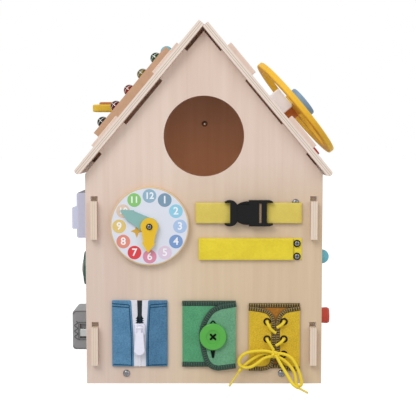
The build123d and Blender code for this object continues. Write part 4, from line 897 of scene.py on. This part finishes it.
def smooth_route(points, steps=10):
    """Curve through X, Z points."""
    ends = [Vector(point) for point in points]
    ends = [2 * ends[0] - ends[1], *ends, 2 * ends[-1] - ends[-2]]
    found = []
    for a, b, c, d in zip(ends, ends[1:], ends[2:], ends[3:]):
        for step in range(steps):
            t = step / steps
            point = (
                2 * b + (c - a) * t + (2 * a - 5 * b + 4 * c - d) * t**2
                + (3 * b - a - 3 * c + d) * t**3
            ) / 2
            found.append(tuple(point))
    return found + [tuple(ends[-2])]


def patch(name, left, right, back, thick, material, slot_name, puff, **where):
    """Cloth between a left and a right edge, each a route of X, Z points from foot to top."""
    columns, rows = 24, 48
    lefts, rights = resample(left, rows + 1), resample(right, rows + 1)
    bm = bmesh.new()
    bmesh.ops.create_grid(bm, x_segments=columns, y_segments=rows, size=1)
    for vertex in bm.verts:
        across, row = (vertex.co.x + 1) / 2, round((vertex.co.y + 1) / 2 * rows)
        x, z = lefts[row].lerp(rights[row], across)
        swell = puff * (1 + noise.noise(Vector((x * 0.09, back, z * 0.07))))
        swell *= min(1.0, 8 * across * (1 - across))
        vertex.co = (x * mm, (front_y - back - thick - swell) * mm, z * mm)
    area = sum(face.calc_area() for face in bm.faces)
    made = make_piece(name, bm, material, slot_name, **where)
    thicken(made, thick, -1, 0.35 * thick, 3)


def steps_along(route, gap):
    """Points and headings every gap millimetres along a route of X, Z points."""
    found, carried = [], 0.0
    for start, end in zip(route, route[1:]):
        first, last = Vector(start), Vector(end)
        run = (last - first).length
        if run == 0:
            continue
        heading = (last - first) / run
        while carried <= run:
            found.append((first + heading * carried, heading))
            carried += gap
        carried -= run
    return found


def threads_at(name, places, material, slot_name, radius, **where):
    """Short thread stitches from one X, Y, Z point to another, in millimetres, as one piece."""
    bm = bmesh.new()
    for start, end in places:
        rod(bm, start, end, radius)
    make_piece(name, bm, material, slot_name, **where)


# Share of the band's width, and millimetres in front of the cloth.
hem_profile = (
    (-0.05, -1.6), (-0.08, 0.1), (0.04, 0.5), (0.35, 0.6), (0.75, 0.55), (1.0, 0.25), (1.03, -0.3),
)


def hem(name, route, inward, out, width, material, thread, thread_radius, slot_name):
    """Bound edge: a soft band, out millimetres before the panel, along a route of X, Z points
    whose cloth is on its inward side, and zigzag threads that wrap it."""
    length = sum((Vector(b) - Vector(a)).length for a, b in zip(route, route[1:]))
    points = resample(route, max(3, int(length)))
    bm = bmesh.new()
    rows = []
    for index, point in enumerate(points):
        before, after = points[max(index - 1, 0)], points[min(index + 1, len(points) - 1)]
        heading = (after - before).normalized()
        side = Vector((-heading.y, heading.x)) * inward
        row = []
        for share, rise in hem_profile:
            x, z = point + side * width * share
            bump = 0.12 * noise.noise(Vector((x * 0.4, out, z * 0.4)))
            row.append(bm.verts.new((x * mm, (front_y - out - rise - bump) * mm, z * mm)))
        rows.append(row)
    join_rows(bm, rows[::-1])
    bmesh.ops.recalc_face_normals(bm, faces=bm.faces)
    make_piece(name, bm, material, slot_name)

    zigzag, thread_y = [], front_y - out - 0.5
    for index, (point, heading) in enumerate(steps_along(route, 1.5)):
        side = Vector((-heading.y, heading.x)) * inward
        lean = heading * (1.3 if index % 2 else -1.3)
        ends = (point - side * 0.1, point + side * (width - 0.6) + lean)
        zigzag.append([(end.x, thread_y, end.y) for end in ends])
    threads_at(f"{name}_threads", zigzag, thread, slot_name, thread_radius)


denim = cloth_material("light denim", "#6499C0", "#38698E", 0.0011, 0.7, 1.0, 0.6)
# The right half is the same denim, darker: painted shade.
shaded_denim = cloth_material("denim in painted shade", "#578BB2", "#305D80", 0.0011, 0.7, 1.0, 0.6)
navy_thread = even_material("navy thread", "#1B455F", 0.8, Specular_IOR_Level=0.1)
navy_cloth = cloth_material("navy cloth", "#142730", "#0B171E", 0.0009, 0.4)
white_tape = cloth_material("zipper tape", "#F0F0F8", "#CDCFDB", 0.0007, 0.3)
tooth_white = even_material("zipper teeth", "#F2F2FA", 0.35)
(zip_left, _, zip_foot), (zip_right, _, zip_top) = box_mm("zip_panel")
zip_middle = (zip_left + zip_right) / 2
backing_edges = [
    [(zip_middle + x, zip_foot + 1), (zip_middle + x, zip_top - 0.6)] for x in (-12, 12)
]
patch("zip_backing", *backing_edges, 0.05, 1.3, navy_cloth, "denim", puff=0.0)
opening = ((7.2, zip_foot), (7.9, zip_foot + 40), (10.0, zip_top - 6), (10.4, zip_top - 0.3))
denim_stitches = []
stitch_gap, stitch_length, stitch_y = 2.3, 2.0, front_y - 3.95
for side, name in ((-1, "denim_left"), (1, "denim_right")):
    far = zip_left if side < 0 else zip_right
    stitch_end = far - side * 1.8
    near_route = [(zip_middle + side * x, z) for x, z in opening]
    far_route = [(far, zip_foot), (far, zip_top)]
    edges = [far_route, near_route][::-side]
    patch(
        name, *edges, 0.05, 3.4, denim if side < 0 else shaded_denim, "denim",
        instead_of=["zip_panel"] if side < 0 else [], puff=0.45,
    )
    seam = [(x + side * 2.8, z) for x, z in near_route]
    for line in (
        ((seam[-1][0], zip_top - 5.4), (stitch_end, zip_top - 4.0)),
        ((seam[-1][0], zip_top - 8.8), (stitch_end, zip_top - 7.2)),
        (seam[2], seam[1], (seam[0][0], zip_foot + 1.8)),
        ((seam[0][0], zip_foot + 1.8), (stitch_end, zip_foot + 2.8)),
    ):
        for point, heading in steps_along(line, stitch_gap):
            ends = (point, point + heading * stitch_length)
            denim_stitches.append([(end.x, stitch_y, end.y) for end in ends])
threads_at("denim_stitching", denim_stitches, navy_thread, "denim", 0.48)

fork_z = box_mm("zip_slider")[1][2]
spread_z = fork_z + 8.4
tooth_y = front_y - 2.85


def tape_edge(z):
    """How far the inner edge of a tape is from the middle at a height."""
    if z < fork_z:
        return 0.1
    if z < spread_z:
        return min(3.4, 0.1 + 2.4 * (z - fork_z))
    return 2.6 + 0.5 * (z - spread_z) / (zip_top - spread_z)


teeth = []
tooth_pitch = 1.7
tape_levels = [zip_foot, fork_z, fork_z + 1.5, spread_z - 0.1, spread_z + 1.2, zip_top]
for side, name in ((-1, "tape_left"), (1, "tape_right")):
    inner_route = [(zip_middle + side * tape_edge(z), z) for z in tape_levels]
    outer_route = [(zip_middle + side * 11.6, z) for z in tape_levels]
    edges = [outer_route, inner_route][::-side]
    patch(
        name, *edges, 1.5, 1.0, white_tape, "white_tape",
        instead_of=["zip_tapes"] if side < 0 else [], puff=0.0,
    )
    for index in range(int((fork_z - zip_foot) / tooth_pitch)):
        z = zip_foot + tooth_pitch * (index + 0.25 + (0.5 if side > 0 else 0))
        ends = (tape_edge(z) - 0.9, tape_edge(z) + 1.5)
        teeth.append([(zip_middle + side * end, tooth_y, z) for end in ends])
threads_at("zipper_teeth", teeth, tooth_white, "white_tape", 0.5)
black_tape = even_material("open teeth black", "#10222C", 0.8, Specular_IOR_Level=0.1)
tooth_outline = ((1.0, -1.3), (3.0, -1.2), (5.0, -0.7), (3.2, 1.2), (1.0, 1.3))
spikes = bmesh.new()
for side in (-1, 1):
    for index in range(3):
        middle_z = fork_z + 1.5 + 2.5 * index
        rows = []
        for out in (2.3, 2.7):
            spots = [(zip_middle + side * x, front_y - out, middle_z + z) for x, z in tooth_outline]
            rows.append([spikes.verts.new(Vector(spot) * mm) for spot in spots])
            spikes.faces.new(rows[-1])
        join_rows(spikes, rows, closed=True)
bmesh.ops.recalc_face_normals(spikes, faces=spikes.faces)
make_piece("open_teeth", spikes, black_tape, "white_tape", False)
slider_metal = even_material("slider metal", "#DCDBEA", 0.3, 0.05, 300, Metallic=0.35)
dress("zip_slider", slider_metal)
dress("zip_pull", slider_metal)

# ---- Button square ----
# Green felt glued to the panel, its top and foot bound in dark thread. The flap has a curved
# bound edge and a stitched buttonhole, and the button is sewn on through four holes.
felt_green = cloth_material("green felt", "#5CAB7B", "#3C8059", 0.0011, 0.9)
flap_green = cloth_material("pale green felt", "#73AC87", "#4F8C68", 0.0011, 0.9)
green_hem = cloth_material("dark green binding", "#263F36", "#12251E", 0.0012, 0.6)
green_thread = even_material("pale green thread", "#577A67", 0.8)
(left_x, _, low_z), (right_x, _, high_z) = box_mm("button_panel")
patch(
    "felt_base", [(left_x, low_z), (left_x, high_z)], [(right_x, low_z), (right_x, high_z)],
    0.05, 3.4, felt_green, "green_felt", instead_of=["button_panel"], puff=0.2,
)
flap_waist, _, flap_foot = box_mm("button_flap")[0]
button_low, button_high = box_mm("button")
button_x, _, button_z = middle_of(button_low, button_high)
flap_points = (
    (button_x + 6, flap_foot + 0.3), (button_x - 3.6, flap_foot + 3.6),
    (flap_waist + 6.4, low_z + 8), (flap_waist + 1.8, button_z - 12),
    (flap_waist + 0.1, button_z), (flap_waist + 1.8, button_z + 12),
    (flap_waist + 6.4, high_z - 20.7), (button_x - 2.6, high_z - 10.1),
    (button_x + 8, high_z - 4.3),
)
flap_curve = smooth_route(flap_points)
flap_side = [(right_x, low_z - 1.6), (right_x, high_z - 0.8)]
patch(
    "felt_flap", flap_curve, flap_side, 3.6, 1.9, flap_green, "green_felt",
    instead_of=["button_flap"], puff=0.12,
)
flap_rim = [flap_side[0], *flap_curve, flap_side[1]]
for name, route, inward, out in (
    ("base_top_hem", [(left_x, high_z), (right_x, high_z)], -1, 3.6),
    ("base_foot_hem", [(left_x, low_z), (right_x, low_z)], 1, 3.6),
    ("flap_hem", flap_rim, -1, 5.55),
):
    hem(name, route, inward, out, 5.8, green_hem, green_thread, 0.17, "green_felt")
hole_top, hole_foot = button_z + 19.0, button_z - 26.5
buttonhole = [((button_x, front_y - 5.9, hole_foot), (button_x, front_y - 5.9, hole_foot + 11))]
for half, end, tip in ((3.6, hole_top - 3.6, hole_top), (2.2, hole_foot + 9, hole_foot)):
    bow = smooth_route(((button_x - half, end), (button_x, tip), (button_x + half, end)))
    for (x1, z1), (x2, z2) in zip(bow, bow[1:]):
        buttonhole.append(((x1, front_y - 5.95, z1), (x2, front_y - 5.95, z2)))
hole_thread = even_material("buttonhole thread", "#0C1812", 0.8, Specular_IOR_Level=0.1)
threads_at("buttonhole_edge", buttonhole, hole_thread, "green_felt", 0.85)

# ---- Lace square ----
# Yellow felt in two flaps over an amber backing, glued to the panel and bound in dark brown
# thread. Six black eyelets are pressed into the flaps.
amber = cloth_material("amber felt", "#B8791C", "#8A5510", 0.0011, 0.8)
felt_yellow = cloth_material("yellow felt", "#E6C22A", "#BC9714", 0.0011, 0.9)
brown_hem = cloth_material("brown binding", "#4A3A1C", "#241A08", 0.0012, 0.6)
brown_thread = even_material("light brown thread", "#C0A45C", 0.8)
(lace_left, _, lace_low), (lace_right, _, lace_high) = box_mm("lace_panel")
lace_meet = 88.2
backing_low = lace_low + 2.8
backing_edges = [[(x, backing_low), (x, lace_high)] for x in (lace_left + 0.4, lace_right - 0.4)]
patch(
    "lace_backing", *backing_edges, 0.05, 1.4, amber, "yellow_felt",
    instead_of=["lace_panel"], puff=0.0,
)
lace_hems = [
    ("backing_top_hem", [(lace_left, lace_high), (lace_right, lace_high)], -1, 1.5),
    ("backing_foot_hem", [(lace_left, backing_low), (lace_right, backing_low)], 1, 1.5),
]
for side, name in ((-1, "lace_flap_left"), (1, "lace_flap_right")):
    outer_x = lace_left if side < 0 else lace_right
    meet = lace_meet + side * 0.3
    shoulder = meet + (outer_x - meet) * 0.55
    foot_bend = ((16, 0), (9.5, 1.4), (3.4, 6.4), (0, 16))
    head_bend = ((meet, lace_high - 24), (meet + side * 2.6, lace_high - 15))
    head_bend += ((meet + side * 9, lace_high - 8), (shoulder, lace_high - 5.4))
    inner_edge = [(meet + side * x, lace_low + z) for x, z in foot_bend]
    inner_edge[1:] = smooth_route(inner_edge[1:])
    inner_edge += smooth_route(head_bend)
    outer_edge = [(outer_x, lace_low), (outer_x, lace_high - 3.2)]
    edges = [outer_edge, inner_edge][::-side]
    patch(name, *edges, 1.6, 2.0, felt_yellow, "yellow_felt", puff=0.12)
    rim = [outer_edge[0], *inner_edge, outer_edge[1]]
    lace_hems.append((f"{name}_hem", rim, -side, 3.65))
for name, route, inward, out in lace_hems:
    hem(name, route, inward, out, 5.0, brown_hem, brown_thread, 0.24, "yellow_felt")

# ---- Button thread ----
# Black thread crossed through the four holes.
thread_y = button_low[1] + 0.9
hole_reach = 3.3
cross = [
    [(button_x + end * hole_reach, thread_y, button_z + side * end * hole_reach) for end in (-1, 1)]
    for side in (-1, 1)
]
black_thread = even_material("black thread", "#060A08", 0.8, Specular_IOR_Level=0.1)
threads_at("button_thread", cross, black_thread, "green_felt", 1.25, body="button")
